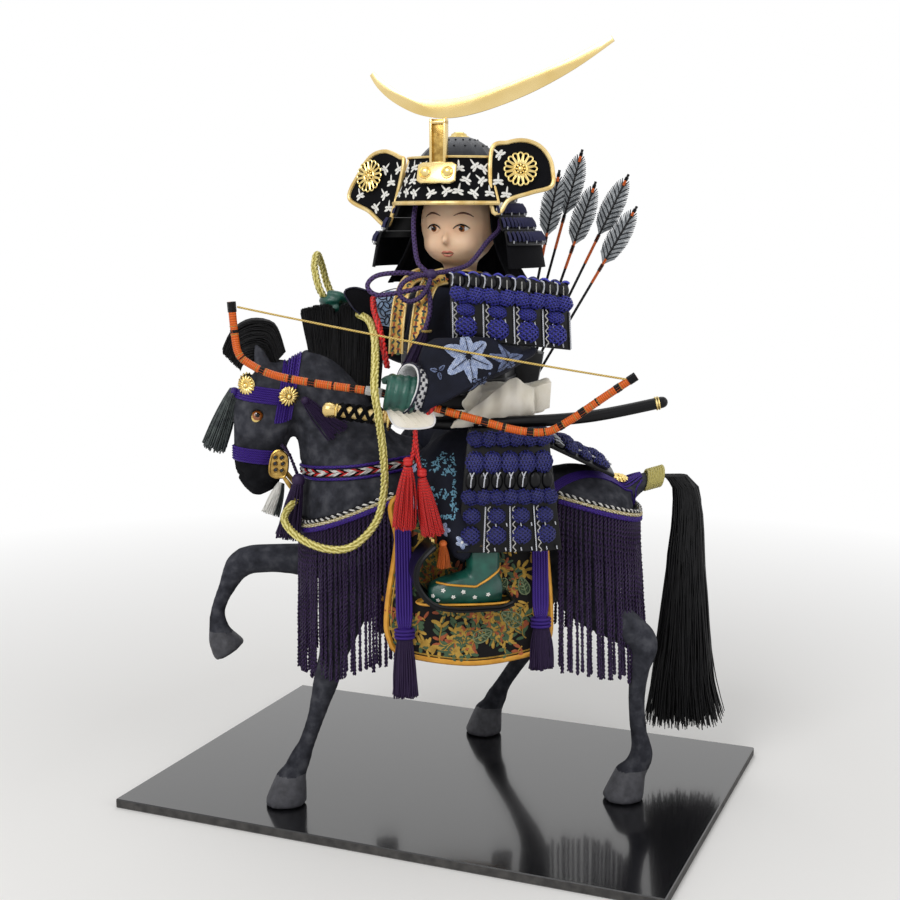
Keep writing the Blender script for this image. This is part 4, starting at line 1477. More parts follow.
# crossing yarns over oval pads that face -Y; pads are (place, wide, deep, bulge)
def basketMesh(pads, angle=40, count=6):
    yarns, radii, cores = [], [], bmesh.new()
    for place, wide, deep, bulge in pads:
        for sign in (-1, 1):
            along = Vector((math.cos(math.radians(angle)), sign * math.sin(math.radians(angle))))
            across = Vector((-along.y, along.x))
            for j in range(count):
                off = -0.86 + 1.72 * j / (count - 1)
                reach = math.sqrt(1 - off * off)
                line = []
                for i in range(7):
                    spot = along * reach * (i / 3 - 1) + across * off
                    rise = math.sqrt(max(0.0, 1 - spot.length_squared))
                    over = 0.22 * mm * (1 if (i + j + (sign > 0)) % 2 else -1)
                    line.append(place @ Vector((spot.x * wide / 2, -bulge * rise - over, spot.y * deep / 2)))
                yarns.append(line)
                radii.append(0.05 * (wide + deep) / 2)
        bmesh.ops.create_uvsphere(cores, u_segments=12, v_segments=8, radius=1,
                                  matrix=place @ Matrix.Diagonal((wide * 0.47, bulge * 0.94, deep * 0.47,
                                          1)))
    return (cordMesh(yarns, radii), 1), (meshFrom(cores), 5)


def lacedPanel(name, node, widths, height, place, bend, rows, columns, linesFrom, bordered=True,
               braid=navyPad):
    topWide, footWide = widths

    def on(x, z, out=0.0):   # x across, z down from the top, out from the face
        return place @ Vector((x, -1.2 * mm - out + bend * (x / (footWide / 2)) ** 2, -z))

    def halfAt(z):
        return (topWide + (footWide - topWide) * z / height) / 2

    def padAt(x, z, out=0.0):
        return Matrix.Translation(on(x, z, out)) @ place.to_3x3().to_4x4()

    base = bmesh.new()
    outline = [(-topWide / 2, 0), (-footWide / 2, -height), (footWide / 2, -height), (topWide / 2, 0)]
    base.from_mesh(sheetFrom(outline, 2.2 * mm, 0.5 * mm))
    for cut in range(-4, 5):
        bmesh.ops.bisect_plane(base, geom=base.verts[:] + base.edges[:] + base.faces[:],
                               plane_co=(cut * footWide / 9, 0, 0), plane_no=(1, 0, 0))
    for vert in base.verts:
        vert.co.y += bend * (vert.co.x / (footWide / 2)) ** 2
        vert.co = place @ vert.co
    parts, silver, waves, dark, pads, ribs = [(meshFrom(base), 0)], [], [], [], [], []
    for kind, z, deep, count, wide in rows:
        half = halfAt(z)
        middle = z + deep / 2
        for k in range(count):
            x = -half + (k + 0.5) * 2 * half / count
            if kind == "heads":   # round-headed lames, a silver lace hooked between them
                dark.append((padAt(x, middle, 0.3 * mm), half / count * 0.94, 1.8 * mm, deep * 0.56))
                edge = x - half / count
                silver.append(smoothLine([on(edge - 1.2 * mm, z, 1.5 * mm),
                                          on(edge + 0.5 * mm, z + deep * 0.1, 2.2 * mm),
                                          on(edge + 0.8 * mm, z + deep * 0.6, 1.8 * mm),
                                          on(edge, z + deep, 1.4 * mm)], 1.5 * mm))
                waves.append([on(x + 0.2 * mm, z + deep * 0.25, 2.2 * mm), on(x + 0.2 * mm, z + deep * 1.0,
                        2.0 * mm)])
            elif kind == "roll":   # a thick rope of braid, seen as a chain of lumps
                pads.append((padAt(x, middle, 1.2 * mm) @ Matrix.Rotation(0.35 * (-1) ** k, 4, "Y"),
                             2 * half / count * 1.32, deep, 4.2 * mm))
            elif kind == "pads":   # a braided pad in each column
                pads.append((padAt(x - 1.0 * mm, middle, 0.4 * mm), wide, deep, 3.6 * mm))
            elif kind == "ribs":   # bulging bundles of upright braid
                ribs.append((padAt(x, middle, 0.6 * mm), 2 * half / count * 1.14, deep * 1.15, 4.4 * mm))
            elif kind == "stitches":   # the heads of lacquered scales, laced in white
                dark.append((padAt(x, middle, 0.2 * mm), half / count * 0.95, 2.0 * mm, deep * 0.6))
                if k < count * 0.62:
                    silver += [smoothLine([on(x + 1.8 * mm, z - 0.5 * mm, 3.0 * mm),
                                           on(x + 0.2 * mm, z + deep * 0.25, 3.2 * mm),
                                           on(x - 0.4 * mm, z + deep * 0.9, 2.0 * mm)], 1.5 * mm),
                               [on(x - 0.8 * mm, z - 0.3 * mm, 3.0 * mm), on(x + 0.5 * mm, z + deep * 0.35,
                                       3.3 * mm)]]
    for k in range(0 if bordered else 1, columns + 1):
        share = -1 + 2 * k / columns
        if k < columns or bordered:
            silver.append([on(share * halfAt(z) + (0.6 * mm if k == 0 else -0.3 * mm), z, 1.0 * mm)
                           for z in (linesFrom, height * 0.8, height - 0.5 * mm)])
        if k < columns:
            waves.append([on(share * halfAt(z) + 2.0 * mm + 0.9 * mm * math.sin(z * 1400), z, 1.2 * mm)
                          for z in (linesFrom + (height - linesFrom) * n / 26 for n in range(27))])
            silver += [[on(share * halfAt(z) + s, z, 1.2 * mm), on(share * halfAt(z) + s + 0.3 * mm,
                    z + 2.0 * mm, 1.6 * mm)]
                       for s in (6 * mm, 12.5 * mm) for z in (linesFrom + (height - linesFrom) * 0.36,
                               height - 3 * mm)]
    scales = bmesh.new()
    for where, x, y, z in dark:
        bmesh.ops.create_uvsphere(scales, u_segments=12, v_segments=8, radius=1,
                                  matrix=where @ Matrix.Diagonal((x, y, z, 1)))
    parts.append((meshFrom(scales), 0))
    parts += [*basketMesh(pads), (cordMesh(silver, 0.42 * mm), 2), (cordMesh(waves, 0.34 * mm), 4)]
    if ribs:
        parts += basketMesh(ribs, 62, 7)
    if bordered:   # braid looped over the upper edge
        parts.append((cordMesh([[on(-halfAt(0) + 2 * halfAt(0) * n / 90,
                                    0.2 * mm + 0.9 * mm * math.sin(n * 0.7),
                                    -0.5 * mm + 1.2 * mm * math.cos(n * 0.7)) for n in range(91)]], 1.0 * mm,
                                    1), 1))
    piece(name, joinMeshes(*parts), [lacquerMatt, braid, silverThread, weftBlue, whiteCord, navyDark],
          [node])


sodeRows = [("heads", 0.6 * mm, 7.4 * mm, 8, 0), ("roll", 8.4 * mm, 9.4 * mm, 8, 0),
            ("pads", 18.0 * mm, 7.4 * mm, 4, 11 * mm), ("pads", 25.6 * mm, 12.2 * mm, 4, 13 * mm)]
lacedPanel("shoulder_guard_near", "shoulder_guard_left", (0.073, 0.074), 0.04,
           placed(at(0.0285, -0.069, 0.3325), 7, -7) @ Matrix(((1, 0, 0, 0), (0, 1, 0, 0), (-0.1, 0, 1, 0),
                   (0, 0, 0, 1))), 0.006, sodeRows, 4, 17.5 * mm)
sodeRows = [("heads", 0.6 * mm, 7.4 * mm, 7, 0), ("roll", 8.4 * mm, 9.4 * mm, 7, 0),
            ("pads", 19.0 * mm, 8.6 * mm, 4, 10 * mm), ("pads", 29.4 * mm, 13.6 * mm, 4, 12 * mm)]
lacedPanel("shoulder_guard_far", "shoulder_guard_right", (0.06, 0.064), 0.046,
           placed(at(0.012, 0.059, 0.326), 180, -7), 0.006, sodeRows, 4, 17.5 * mm)
hipRows = [("roll", 1.5 * mm, 9.5 * mm, 6, 0), ("ribs", 14.5 * mm, 11.5 * mm, 5, 0), ("stitches", 26.5 * mm,
        9.5 * mm, 7, 0), ("roll", 36.5 * mm, 9.0 * mm, 7, 0),
           ("pads", 47.4 * mm, 9.4 * mm, 4, 10.5 * mm), ("pads", 58.4 * mm, 10.6 * mm, 4, 11.5 * mm)]
for side, word, yaw in ((-1, "near", 0), (1, "far", 180)):
    lacedPanel(f"tasset_{word}", f"tasset_{'left' if side < 0 else 'right'}", (0.048, 0.064), 0.074,
               placed(at(0.025, side * 0.08, 0.244), yaw, -7), 0.005, hipRows, 4, 46.5 * mm, False, navyHip)
rearRows = [("roll", 1.5 * mm, 9.0 * mm, 6, 0), ("ribs", 12.5 * mm, 10.0 * mm, 5, 0), ("stitches", 24.0 * mm,
        6.5 * mm, 7, 0), ("roll", 31.5 * mm, 8.0 * mm, 7, 0),
            ("pads", 41.0 * mm, 9.0 * mm, 4, 10 * mm), ("pads", 51.5 * mm, 11 * mm, 4, 12 * mm)]
lacedPanel("tasset_back", "tasset_rear", (0.048, 0.064), 0.066, placed(at(0.043, 0, 0.235), 90, -66), 0.004,
           rearRows, 4, 40 * mm, False, navyHip)
print("armour panels ready")


# head and helmet are made facing -Y about the head's own axis, then turned the way the rider looks
headStyle = {"axis": (0.0055, -0.002), "turn": -28, "height": 0.362, "rim": 0.379, "radius": 0.0315,
             "tall": 0.039, "wide": 1.07}
facing = Matrix.Translation(at(headStyle["axis"][0], headStyle["axis"][1],
                               0)) @ Matrix.Rotation(math.radians(headStyle["turn"]), 4, "Z")
rimZ, bowlRadius, faceZ = headStyle["rim"], headStyle["radius"], headStyle["height"]

# a calm doll's face on even proportions: eyes at the middle of the head, nose and mouth in thirds below
headMesh = softened(cadMesh("head"), 1.0 * mm, 8)
headMesh.transform(facing.inverted())
headMesh.transform(Matrix.Diagonal((headStyle["wide"], 1, 1, 1)))
eyeLine, noseLine, mouthLine, chinLineZ = faceZ - 0.001, faceZ - 0.0105, faceZ - 0.0165, faceZ - 0.0235
dabs = [(Vector((0, -0.0265, noseLine + 0.0015)), 0.0042, 1.1 * mm), (Vector((0, -0.0245, faceZ - 0.003)),
        0.004, 0.7 * mm), (Vector((0, -0.0225, mouthLine - 0.0012)), 0.0034, 0.6 * mm),
        (Vector((0, -0.0225, mouthLine + 0.0014)), 0.0032, 0.5 * mm),
        (Vector((0, -0.02, chinLineZ + 0.001)), 0.007, 1.2 * mm), (Vector((0, -0.0215, mouthLine - 0.0045)),
                0.003, -0.4 * mm)]
for side in (-1, 1):
    dabs += [(Vector((side * 0.009, -0.0235, eyeLine)), 0.0062, -1.3 * mm),
             (Vector((side * 0.009, -0.0235, eyeLine + 0.0068)), 0.0055, 0.7 * mm),
             (Vector((side * 0.013, -0.019, noseLine - 0.001)), 0.0095, 1.1 * mm),
             (Vector((side * 0.0024, -0.0255, noseLine - 0.0006)), 0.002, 0.5 * mm)]
pressed(headMesh, dabs)
faceTree = surfaceOf(headMesh)


def onFace(x, z, out):
    hit, normal, _, _ = faceTree.ray_cast(Vector((x, -0.06, z)), Vector((0, 1, 0)))
    return (hit if hit is not None else Vector((x, -0.024, z))) + Vector((0, -out, 0))


browLines, upperLids, lowerLids, eyes, irises, pupils, glints = [], [], [], [], [], [], []
for side in (-1, 1):
    browLines.append([onFace(side * x, faceZ + z, 0.05 * mm) for x, z in ((0.0044, 0.0066), (0.0075, 0.0079),
            (0.0108, 0.0082), (0.0142, 0.007), (0.0158, 0.0058))])
    upperLids.append([onFace(side * x, eyeLine + z, 0.55 * mm) for x, z in ((0.0042, -0.0004),
            (0.0062, 0.0014), (0.009, 0.0022), (0.012, 0.0014), (0.014, -0.0002))])
    lowerLids.append([onFace(side * x, eyeLine + z, 0.3 * mm) for x, z in ((0.0046, -0.001),
            (0.0066, -0.0023), (0.009, -0.0028), (0.0116, -0.0022), (0.0136, -0.0008))])
    centre = onFace(side * 0.009, eyeLine - 0.0002, 0) + Vector((0, 3.3 * mm, 0))
    eyes.append(centre)
    irises.append(centre + Vector((0, -2.35 * mm, 0)))
    pupils.append(centre + Vector((0, -3.55 * mm, 0)))
    glints.append(centre + Vector((-0.8, -4.6, 0.9)) * mm)
lips = [[onFace(x, mouthLine + z, -0.05 * mm) for x, z in ((-0.004, 0.0003), (-0.002, 0.0011), (0, 0.0008),
        (0.002, 0.0011), (0.004, 0.0003))],
        [onFace(x, mouthLine + z, -0.05 * mm) for x, z in ((-0.0036, -0.0001), (-0.0018, -0.0013),
                (0, -0.0015), (0.0018, -0.0013), (0.0036, -0.0001))]]
seam = [[onFace(x, mouthLine, 0.15 * mm) for x in (-0.0042, -0.0021, 0, 0.0021, 0.0042)]]


def faceStroke(lines, radius, least, most):
    return cordMesh([smoothLine(line, 0.8 * mm) for line in lines], radius, 1,
                    lambda t: least + (most - least) * math.sin(math.pi * t))


faceMesh = joinMeshes((headMesh, 0), (ballMesh(eyes, (4.7 * mm, 3.9 * mm, 2.5 * mm), 20, 12), 1),
                      (ballMesh(irises, (2.5 * mm, 2.1 * mm, 2.3 * mm), 16, 10), 2),
                      (ballMesh(pupils, (1.5 * mm, 1.1 * mm, 1.5 * mm), 12, 8), 3),
                      (ballMesh(glints, (0.4 * mm,) * 3, 8, 6), 6),
                      (faceStroke(browLines, 0.62 * mm, 0.3, 1.1), 4),
                      (faceStroke(upperLids, 0.5 * mm, 0.5, 1.1), 3),
                      (faceStroke(lowerLids, 0.34 * mm, 0.6, 1.0), 0),
                      (faceStroke(lips, 0.66 * mm, 0.3, 1.1), 5), (faceStroke(seam, 0.22 * mm, 0.5, 1.0), 4))
faceMesh.transform(facing)
piece("head_painted", faceMesh, [skin, eyeWhite, glassBrown, glassBlack, browPaint, lipPaint, paintGlint],
      ["head"], sharp=None)

# black cloth under the helmet: a hood round the face that spreads over the shoulders
hood = bmesh.new()
profile = [(0.027, rimZ + 0.004), (0.0278, rimZ - 0.01), (0.03, rimZ - 0.022), (0.035, rimZ - 0.036),
           (0.044, rimZ - 0.052)]
verts = [hood.verts.new((0, -p.x, p.z)) for p in smoothLine([Vector((r, 0, z)) for r, z in profile], 4 * mm)]
edges = [hood.edges.new(pair) for pair in zip(verts, verts[1:])]
bmesh.ops.rotate(hood, verts=hood.verts, cent=(0, 0, 0), matrix=Matrix.Rotation(math.radians(66), 3, "Z"))
bmesh.ops.spin(hood, geom=verts + edges, axis=(0, 0, 1), cent=(0, 0, 0), angle=math.radians(228), steps=110,
               use_merge=False)
for vert in hood.verts:
    angle = math.atan2(vert.co.x, -vert.co.y)
    pleat = 1 + 0.03 * math.sin(angle * 19 + vert.co.z * 90) * min(1, max(0, (rimZ - vert.co.z) / 0.04))
    vert.co.x *= pleat
    vert.co.y *= pleat
bmesh.ops.recalc_face_normals(hood, faces=hood.faces)
bmesh.ops.solidify(hood, geom=hood.faces[:], thickness=0.9 * mm)
hoodMesh = meshFrom(hood)
neckRing = [Vector((0.0175 * math.sin(a), -0.0165 * math.cos(a) - 0.001, rimZ - 0.049 + 0.003 * math.cos(a)))
            for a in ringAngles(40)]
collarParts = [(cordMesh([[p + Vector((0, 0, dz * mm)) for p in neckRing]], 2.4 * mm, 2, closed=True), 0)
               for dz in (0, -3, -6)]
hoodMesh = joinMeshes((hoodMesh, 0), *collarParts,
                      (cordMesh([[p * 1.0 + Vector((0, 0, 2.2 * mm)) for p in neckRing]], 0.9 * mm, 1,
                                closed=True), 1))
hoodMesh.transform(facing)
piece("hood_cloth", hoodMesh, [clothBlack, goldPiping], sharp=None)

# the bowl: sixteen ribbed plates with a line of small rivets along each seam
bowl = bmesh.new()
bmesh.ops.create_uvsphere(bowl, u_segments=96, v_segments=32, radius=1)
bmesh.ops.bisect_plane(bowl, geom=bowl.verts[:] + bowl.edges[:] + bowl.faces[:], plane_co=(0, 0, 0),
                       plane_no=(0, 0, -1), clear_outer=True)
for vert in bowl.verts:
    rib = abs(math.cos(math.atan2(vert.co.y, vert.co.x) * 8))
    level = 1 + 0.034 * rib ** 12
    vert.co.x *= bowlRadius * level
    vert.co.y *= bowlRadius * 1.04 * level
    vert.co.z = rimZ + vert.co.z * headStyle["tall"]
rivets = []
for k in range(16):
    angle = math.tau * (k + 0.5) / 16
    for rise in (14, 28, 42, 56, 68):
        c, s = math.cos(math.radians(rise)), math.sin(math.radians(rise))
        rivets.append(Vector((math.cos(angle) * bowlRadius * c, math.sin(angle) * bowlRadius * 1.04 * c,
                              rimZ + headStyle["tall"] * s)))
knob = [(0.0072, 0.0372), (0.0066, 0.0385), (0.005, 0.0392), (0.0048, 0.0402), (0.0034, 0.0408),
        (0.0032, 0.0412), (0.0001, 0.0413)]
crown = bmesh.new()
verts = [crown.verts.new((r, 0, rimZ + z)) for r, z in knob]
edges = [crown.edges.new(pair) for pair in zip(verts, verts[1:])]
bmesh.ops.spin(crown, geom=verts + edges, axis=(0, 0, 1), cent=(0, 0, 0), angle=math.tau, steps=32,
               use_merge=True)
bmesh.ops.recalc_face_normals(crown, faces=crown.faces)
helmet = joinMeshes((meshFrom(bowl), 0), (ballMesh(rivets, (0.75 * mm,) * 3, 6, 4), 0), (meshFrom(crown), 1))
helmet.transform(facing)
piece("helmet_bowl_iron", helmet, [ironDark, giltCast], ["helmet_bowl"], sharp=None)


def dragonflyOn(bm, tree, centre, out, turn, size):   # four wings and a body in white thread
    start = Matrix.Rotation(turn, 3, out) @ out.cross(Vector((0, 0, 1))).normalized()
    up = out.cross(start)
    petalOn(bm, tree, centre - up * size * 0.1, up, out, size * 0.9, size * 0.17, 0.35 * mm, 0.35 * mm, 0, 8)
    for side in (-1, 1):
        for rise, long in ((0.26, 0.5), (0.04, 0.44)):
            along = (start * side + up * rise * 1.3).normalized()
            petalOn(bm, tree, centre + up * size * (rise * 0.8 + 0.05) + along * size * long * 0.5, along,
                    out, size * long, size * 0.23, 0.3 * mm, 0.3 * mm, 0, 8)


# the visor: cloth over iron, embroidered, with a gold roll along its edges
visorProfile = [(bowlRadius + 0.0005, rimZ + 0.0245), (bowlRadius + 0.0035, rimZ + 0.014),
                (bowlRadius + 0.007, rimZ + 0.005), (bowlRadius + 0.0098, rimZ - 0.002)]


def spunShell(profile, start, end, steps, thickness):
    bm = bmesh.new()
    verts = [bm.verts.new((0, -radius, z)) for radius, z in profile]
    edges = [bm.edges.new(pair) for pair in zip(verts, verts[1:])]
    bmesh.ops.rotate(bm, verts=bm.verts, cent=(0, 0, 0), matrix=Matrix.Rotation(math.radians(start), 3, "Z"))
    bmesh.ops.spin(bm, geom=verts + edges, axis=(0, 0, 1), cent=(0, 0, 0), angle=math.radians(end - start),
                   steps=steps, use_merge=False)
    bmesh.ops.recalc_face_normals(bm, faces=bm.faces)
    if sum(f.normal.dot(Vector((f.calc_center_median().x, f.calc_center_median().y, 0)))
           for f in bm.faces) < 0:
        bmesh.ops.reverse_faces(bm, faces=bm.faces[:])
    bmesh.ops.solidify(bm, geom=bm.faces[:], thickness=thickness)
    return meshFrom(bm)


def arc(radius, z, start, end, steps=48):
    return [Vector((radius * math.sin(a), -radius * math.cos(a), z))
            for a in (math.radians(start + (end - start) * k / steps) for k in range(steps + 1))]


visorCloth = spunShell([(p.x, p.z) for p in smoothLine([Vector((r, 0, z)) for r, z in visorProfile],
        2 * mm)], -56, 56, 48, 1.4 * mm)
visorTree = surfaceOf(visorCloth)
flies = bmesh.new()
for row, z in enumerate((0.0195, 0.012, 0.0045)):
    for k in range(8):
        angle = -49 + 14.0 * k + 6 * (row % 2) + random.uniform(-1.5, 1.5)
        if abs(angle) < 17 and z > 0.008 or angle > 53:
            continue
        a = math.radians(angle)
        hit, normal, _, _ = visorTree.ray_cast(Vector((0.08 * math.sin(a), -0.08 * math.cos(a),
                rimZ + z + random.uniform(-1, 1) * mm)), Vector((-math.sin(a), math.cos(a), 0)))
        if hit is not None:
            dragonflyOn(flies, visorTree, hit, normal, random.uniform(-0.9, 0.9), 7.6 * mm)
rolls = [arc(bowlRadius + 0.0102, rimZ - 0.0028, -56, 56), arc(bowlRadius + 0.0012, rimZ + 0.025, -56, 56)]
sides = [[Vector((r * math.sin(math.radians(a)), -r * math.cos(math.radians(a)), z)) for r,
          z in visorProfile] for a in (-56, 56)]
visorMesh = joinMeshes((visorCloth, 0), (cordMesh(rolls[:1], 1.35 * mm, 2), 1),
                       (cordMesh(rolls[1:] + sides, 0.8 * mm, 1), 1), (meshFrom(flies), 2))
visorMesh.transform(facing)
piece("visor_cloth", visorMesh, [clothBlack, goldPiping, stitchWhite], ["visor"])

# the turned-back ears, with a pierced flower on each
wings = {"left": [(0.0, -0.003), (0.005, -0.0065), (0.0105, 0.001), (0.024, 0.0055), (0.0365, 0.0095),
                  (0.0372, 0.019), (0.035, 0.027), (0.029, 0.034), (0.02, 0.0372), (0.01, 0.036),
                  (0.0, 0.031)],
         "right": [(0.0, 0.024), (0.004, 0.028), (0.0165, 0.032), (0.028, 0.029), (0.037, 0.018),
                   (0.0436, 0.003), (0.026, -0.0055), (0.01, -0.0145), (0.0045, -0.002)]}
for side, word, yaw, heartX, heartZ in ((1, "left", 22, 0.0175, 0.0195), (-1, "right", -18, 0.0262, 0.0165)):
    place = Matrix.Translation((side * 0.03, -0.0235, rimZ - 0.002)) @ Matrix.Rotation(math.radians(yaw), 4,
            "Z") @ Matrix.Rotation(math.radians(-8), 4, "X")
    rim = closedLine([Vector((x * side, 0, z)) for x, z in wings[word]], 1.4 * mm)
    leaf = bmesh.new()
    face = leaf.faces.new([leaf.verts.new(p) for p in rim])
    if face.normal.y > 0:
        face.normal_flip()
    bmesh.ops.inset_region(leaf, faces=leaf.faces[:], thickness=6 * mm, depth=0.0)
    bmesh.ops.solidify(leaf, geom=leaf.faces[:], thickness=1.6 * mm)
    clothMesh = meshFrom(leaf)
    wingTree = surfaceOf(clothMesh)
    stitched = bmesh.new()
    centre = Vector((side * heartX, -1.0 * mm, heartZ))
    low = min(z for _, z in wings[word])
    for k in range(28):
        x, z = 0.004 + 0.0102 * (k % 4) + 0.0051 * (k // 4 % 2), low + 0.004 + 0.008 * (k // 4)
        hit, normal, _, _ = wingTree.ray_cast(Vector((x * side, -0.02, z)), Vector((0, 1, 0)))
        inside = min((Vector((x * side, 0, z)) - p).length for p in rim) > 3.2 * mm
        if hit is not None and inside and (Vector((x * side, 0, z)) - Vector((centre.x, 0,
                centre.z))).length > 12.5 * mm:
            dragonflyOn(stitched, wingTree, hit, normal, random.uniform(-0.9, 0.9), 7.4 * mm)
    flower = []
    for k in range(16):
        a = math.tau * k / 16
        along, across = Vector((math.cos(a), 0, math.sin(a))), Vector((-math.sin(a), 0, math.cos(a)))
        flower.append(closedLine([centre + Vector((0, -1.2 * mm, 0)) + along * r * mm + across * s * mm
                                  for r, s in ((3.8, 0), (6.0, 0.85), (8.9, 1.45), (10.0, 0), (8.9, -1.45),
                                          (6.0, -0.85))], 0.9 * mm))
    ringLine = [centre + Vector((3.7 * mm * math.cos(a), -1.4 * mm, 3.7 * mm * math.sin(a)))
                for a in ringAngles(32)]
    beads = ballMesh([centre + Vector((2.4 * mm * math.cos(a), -1.9 * mm, 2.4 * mm * math.sin(a)))
                      for a in ringAngles(8)], (0.8 * mm,) * 3, 8, 5)
    wingMesh = joinMeshes((clothMesh, 0), (cordMesh([rim], 1.35 * mm, 2, closed=True), 1),
                          (cordMesh(flower, 0.52 * mm, 1, closed=True), 2),
                          (ballMesh([centre + Vector((0, -1.4 * mm, 0))], (1.9 * mm, 1.7 * mm, 1.9 * mm), 16,
                                    10), 2), (cordMesh([ringLine], 0.6 * mm, 1, closed=True), 2), (beads, 2),
                          (meshFrom(stitched), 3))
    wingMesh.transform(facing @ place)
    piece(f"helmet_wing_cloth_{word}", wingMesh, [clothBlack, goldPiping, giltCast, stitchWhite],
          [f"helmet_wing_{word}"])

# the neck guard: four lacquered lames, each hung from the one above by rows of braid
guardParts = []
for i in range(4):
    radius, z = bowlRadius + 0.0012 + 0.006 * i, rimZ + 0.006 - 0.0085 * i
    guardParts.append((spunShell([(radius, z), (radius + 0.0015, z - 0.004), (radius + 0.003, z - 0.008)],
                                 54, 306, 64, 1.3 * mm), 0))
    guardParts.append((cordMesh([arc(radius + 0.003, z - 0.0082, 54, 306, 80)], 0.7 * mm, 1), 0))
    laces = []
    for k in range(64):
        a = math.radians(56 + 248 * k / 63)
        o = Vector((math.sin(a), -math.cos(a), 0))
        laces.append([o * (radius + 0.6 * mm) + Vector((0, 0, z - 0.8 * mm)),
                      o * (radius + 2.6 * mm) + Vector((0, 0, z - 3.6 * mm)),
                      o * (radius + 3.4 * mm) + Vector((0, 0, z - 6.4 * mm))])
    guardParts.append((cordMesh(laces, 1.15 * mm, 0), 1))
    white = [[o * (radius + 3.9 * mm) + Vector((0, 0, z - 6.0 * mm)),
              o * (radius + 3.9 * mm) + Vector((0, 0, z - 7.6 * mm))]
             for o in (Vector((math.sin(a), -math.cos(a), 0))
                       for a in (math.radians(56 + 248 * (k + 0.5) / 63) for k in range(0, 63, 3)))]
    guardParts.append((cordMesh(white, 0.35 * mm), 2))
last = bowlRadius + 0.0012 + 0.006 * 3
guardParts.append((spunShell([(last + 0.001, rimZ - 0.024), (bowlRadius + 0.0235, rimZ - 0.042)], 54, 306,
                             64, 0.8 * mm), 3))
guardMesh = joinMeshes(*guardParts)
guardMesh.transform(facing)
piece("neck_guard_laced", guardMesh, [lacquerMatt, navyDeep, silverThread, clothBlack],
      ["neck_guard"])

# the crest socket: a riveted plate and an open gilt frame
socket = []
tilt = Matrix.Translation((0, -0.0385, rimZ + 0.015)) @ Matrix.Rotation(math.radians(-16), 4, "X")
socket.append((sheetFrom([(-0.0125, -0.005), (-0.0095, -0.0066), (0.0095, -0.0066), (0.0125, -0.005),
                          (0.0125, 0.005), (0.0095, 0.0066), (-0.0095, 0.0066), (-0.0125, 0.005)], 2.6 * mm,
                          0.7 * mm, tilt), 0))
socket.append((ballMesh([tilt @ Vector((x, -1.3 * mm, 0)) for x in (-0.0072, 0.0072)],
                        (3.1 * mm, 1.7 * mm, 3.1 * mm), 18, 10), 1))
studs = [[tilt @ Vector((x + 3.6 * mm * math.cos(a), -1.5 * mm, 3.6 * mm * math.sin(a)))
          for a in ringAngles(24)] for x in (-0.0072, 0.0072)]
socket.append((cordMesh(studs, 0.4 * mm, 1, closed=True), 1))
postPlace = Matrix.Translation((0, -0.035, 0))
frameWide, frameFoot, frameTop = 0.0052, rimZ + 0.02, 0.4262
socket.append((sheetFrom([(-frameWide + 0.0012, frameFoot - 0.002), (frameWide - 0.0012, frameFoot - 0.002),
                          (frameWide - 0.0012, frameTop), (-frameWide + 0.0012, frameTop)], 2.2 * mm,
                          0.3 * mm, postPlace), 2))
for x0, x1, z0, z1 in ((-frameWide, -frameWide + 0.0016, frameFoot, frameTop),
                       (frameWide - 0.0016, frameWide, frameFoot, frameTop), (-frameWide, frameWide,
                               frameFoot - 0.0004, frameFoot + 0.0018), (-frameWide, frameWide,
                                       frameTop - 0.003, frameTop - 0.0012)):
    socket.append((sheetFrom([(x0, z0), (x1, z0), (x1, z1), (x0, z1)], 5.6 * mm, 0.35 * mm, postPlace), 0))
socketMesh = joinMeshes(*socket)
socketMesh.transform(facing)
piece("crest_socket_gilt", socketMesh, [giltSheet, giltCast, giltAged], ["crest_bracket"])

crestLower = [(-0.045, 0.0265), (-0.04, 0.019), (-0.03, 0.0105), (-0.015, 0.003), (0.0, 0.0),
              (0.015, 0.0005), (0.035, 0.005), (0.06, 0.0138), (0.085, 0.026), (0.108, 0.0405)]
crestUpper = [(0.106, 0.0435), (0.08, 0.0315), (0.055, 0.0225), (0.03, 0.015), (0.01, 0.0112),
              (-0.008, 0.011), (-0.022, 0.0145), (-0.034, 0.0215), (-0.0425, 0.0285)]
edgeLine = [(p.x, p.z) for p in smoothLine([Vector((x, 0, z)) for x, z in crestLower],
                                           3 * mm) + smoothLine([Vector((x, 0, z)) for x, z in crestUpper],
                                                   3 * mm)]
crestMesh = sheetFrom(edgeLine, 1.4 * mm, 0.35 * mm, Matrix.Translation((0, -0.035, 0.425 + 0.0016)))
crestMesh.transform(facing)
piece("crest_gilt", crestMesh, giltSheet, ["crest"], sharp=30)
print("helmet ready")


# the sword: lacquered scabbard with gilt bands, guard, and a black grip wrapped over gilt diamonds
scabbardKnots = [at(*p) for p in ((-0.042, -0.056, 0.248), (-0.01, -0.0635, 0.245), (0.03, -0.07, 0.246),
                                  (0.075, -0.076, 0.2495), (0.118, -0.081, 0.258))]
scabbardLine = smoothLine(scabbardKnots, 2 * mm)
along = Vector((0.84, -0.17, -0.1)).normalized()
guardAt = scabbardKnots[0] - along * 1.4 * mm


def ringsAlong(line, places, radius, thick):
    lines = []
    for share in places:
        i = min(len(line) - 2, int(share * (len(line) - 1)))
        tangent = (line[i + 1] - line[i]).normalized()
        side = tangent.orthogonal().normalized()
        up = tangent.cross(side)
        lines.append([line[i] + (side * math.cos(a) + up * math.sin(a)) * radius for a in ringAngles(24)])
    return cordMesh(lines, thick, 1, closed=True)


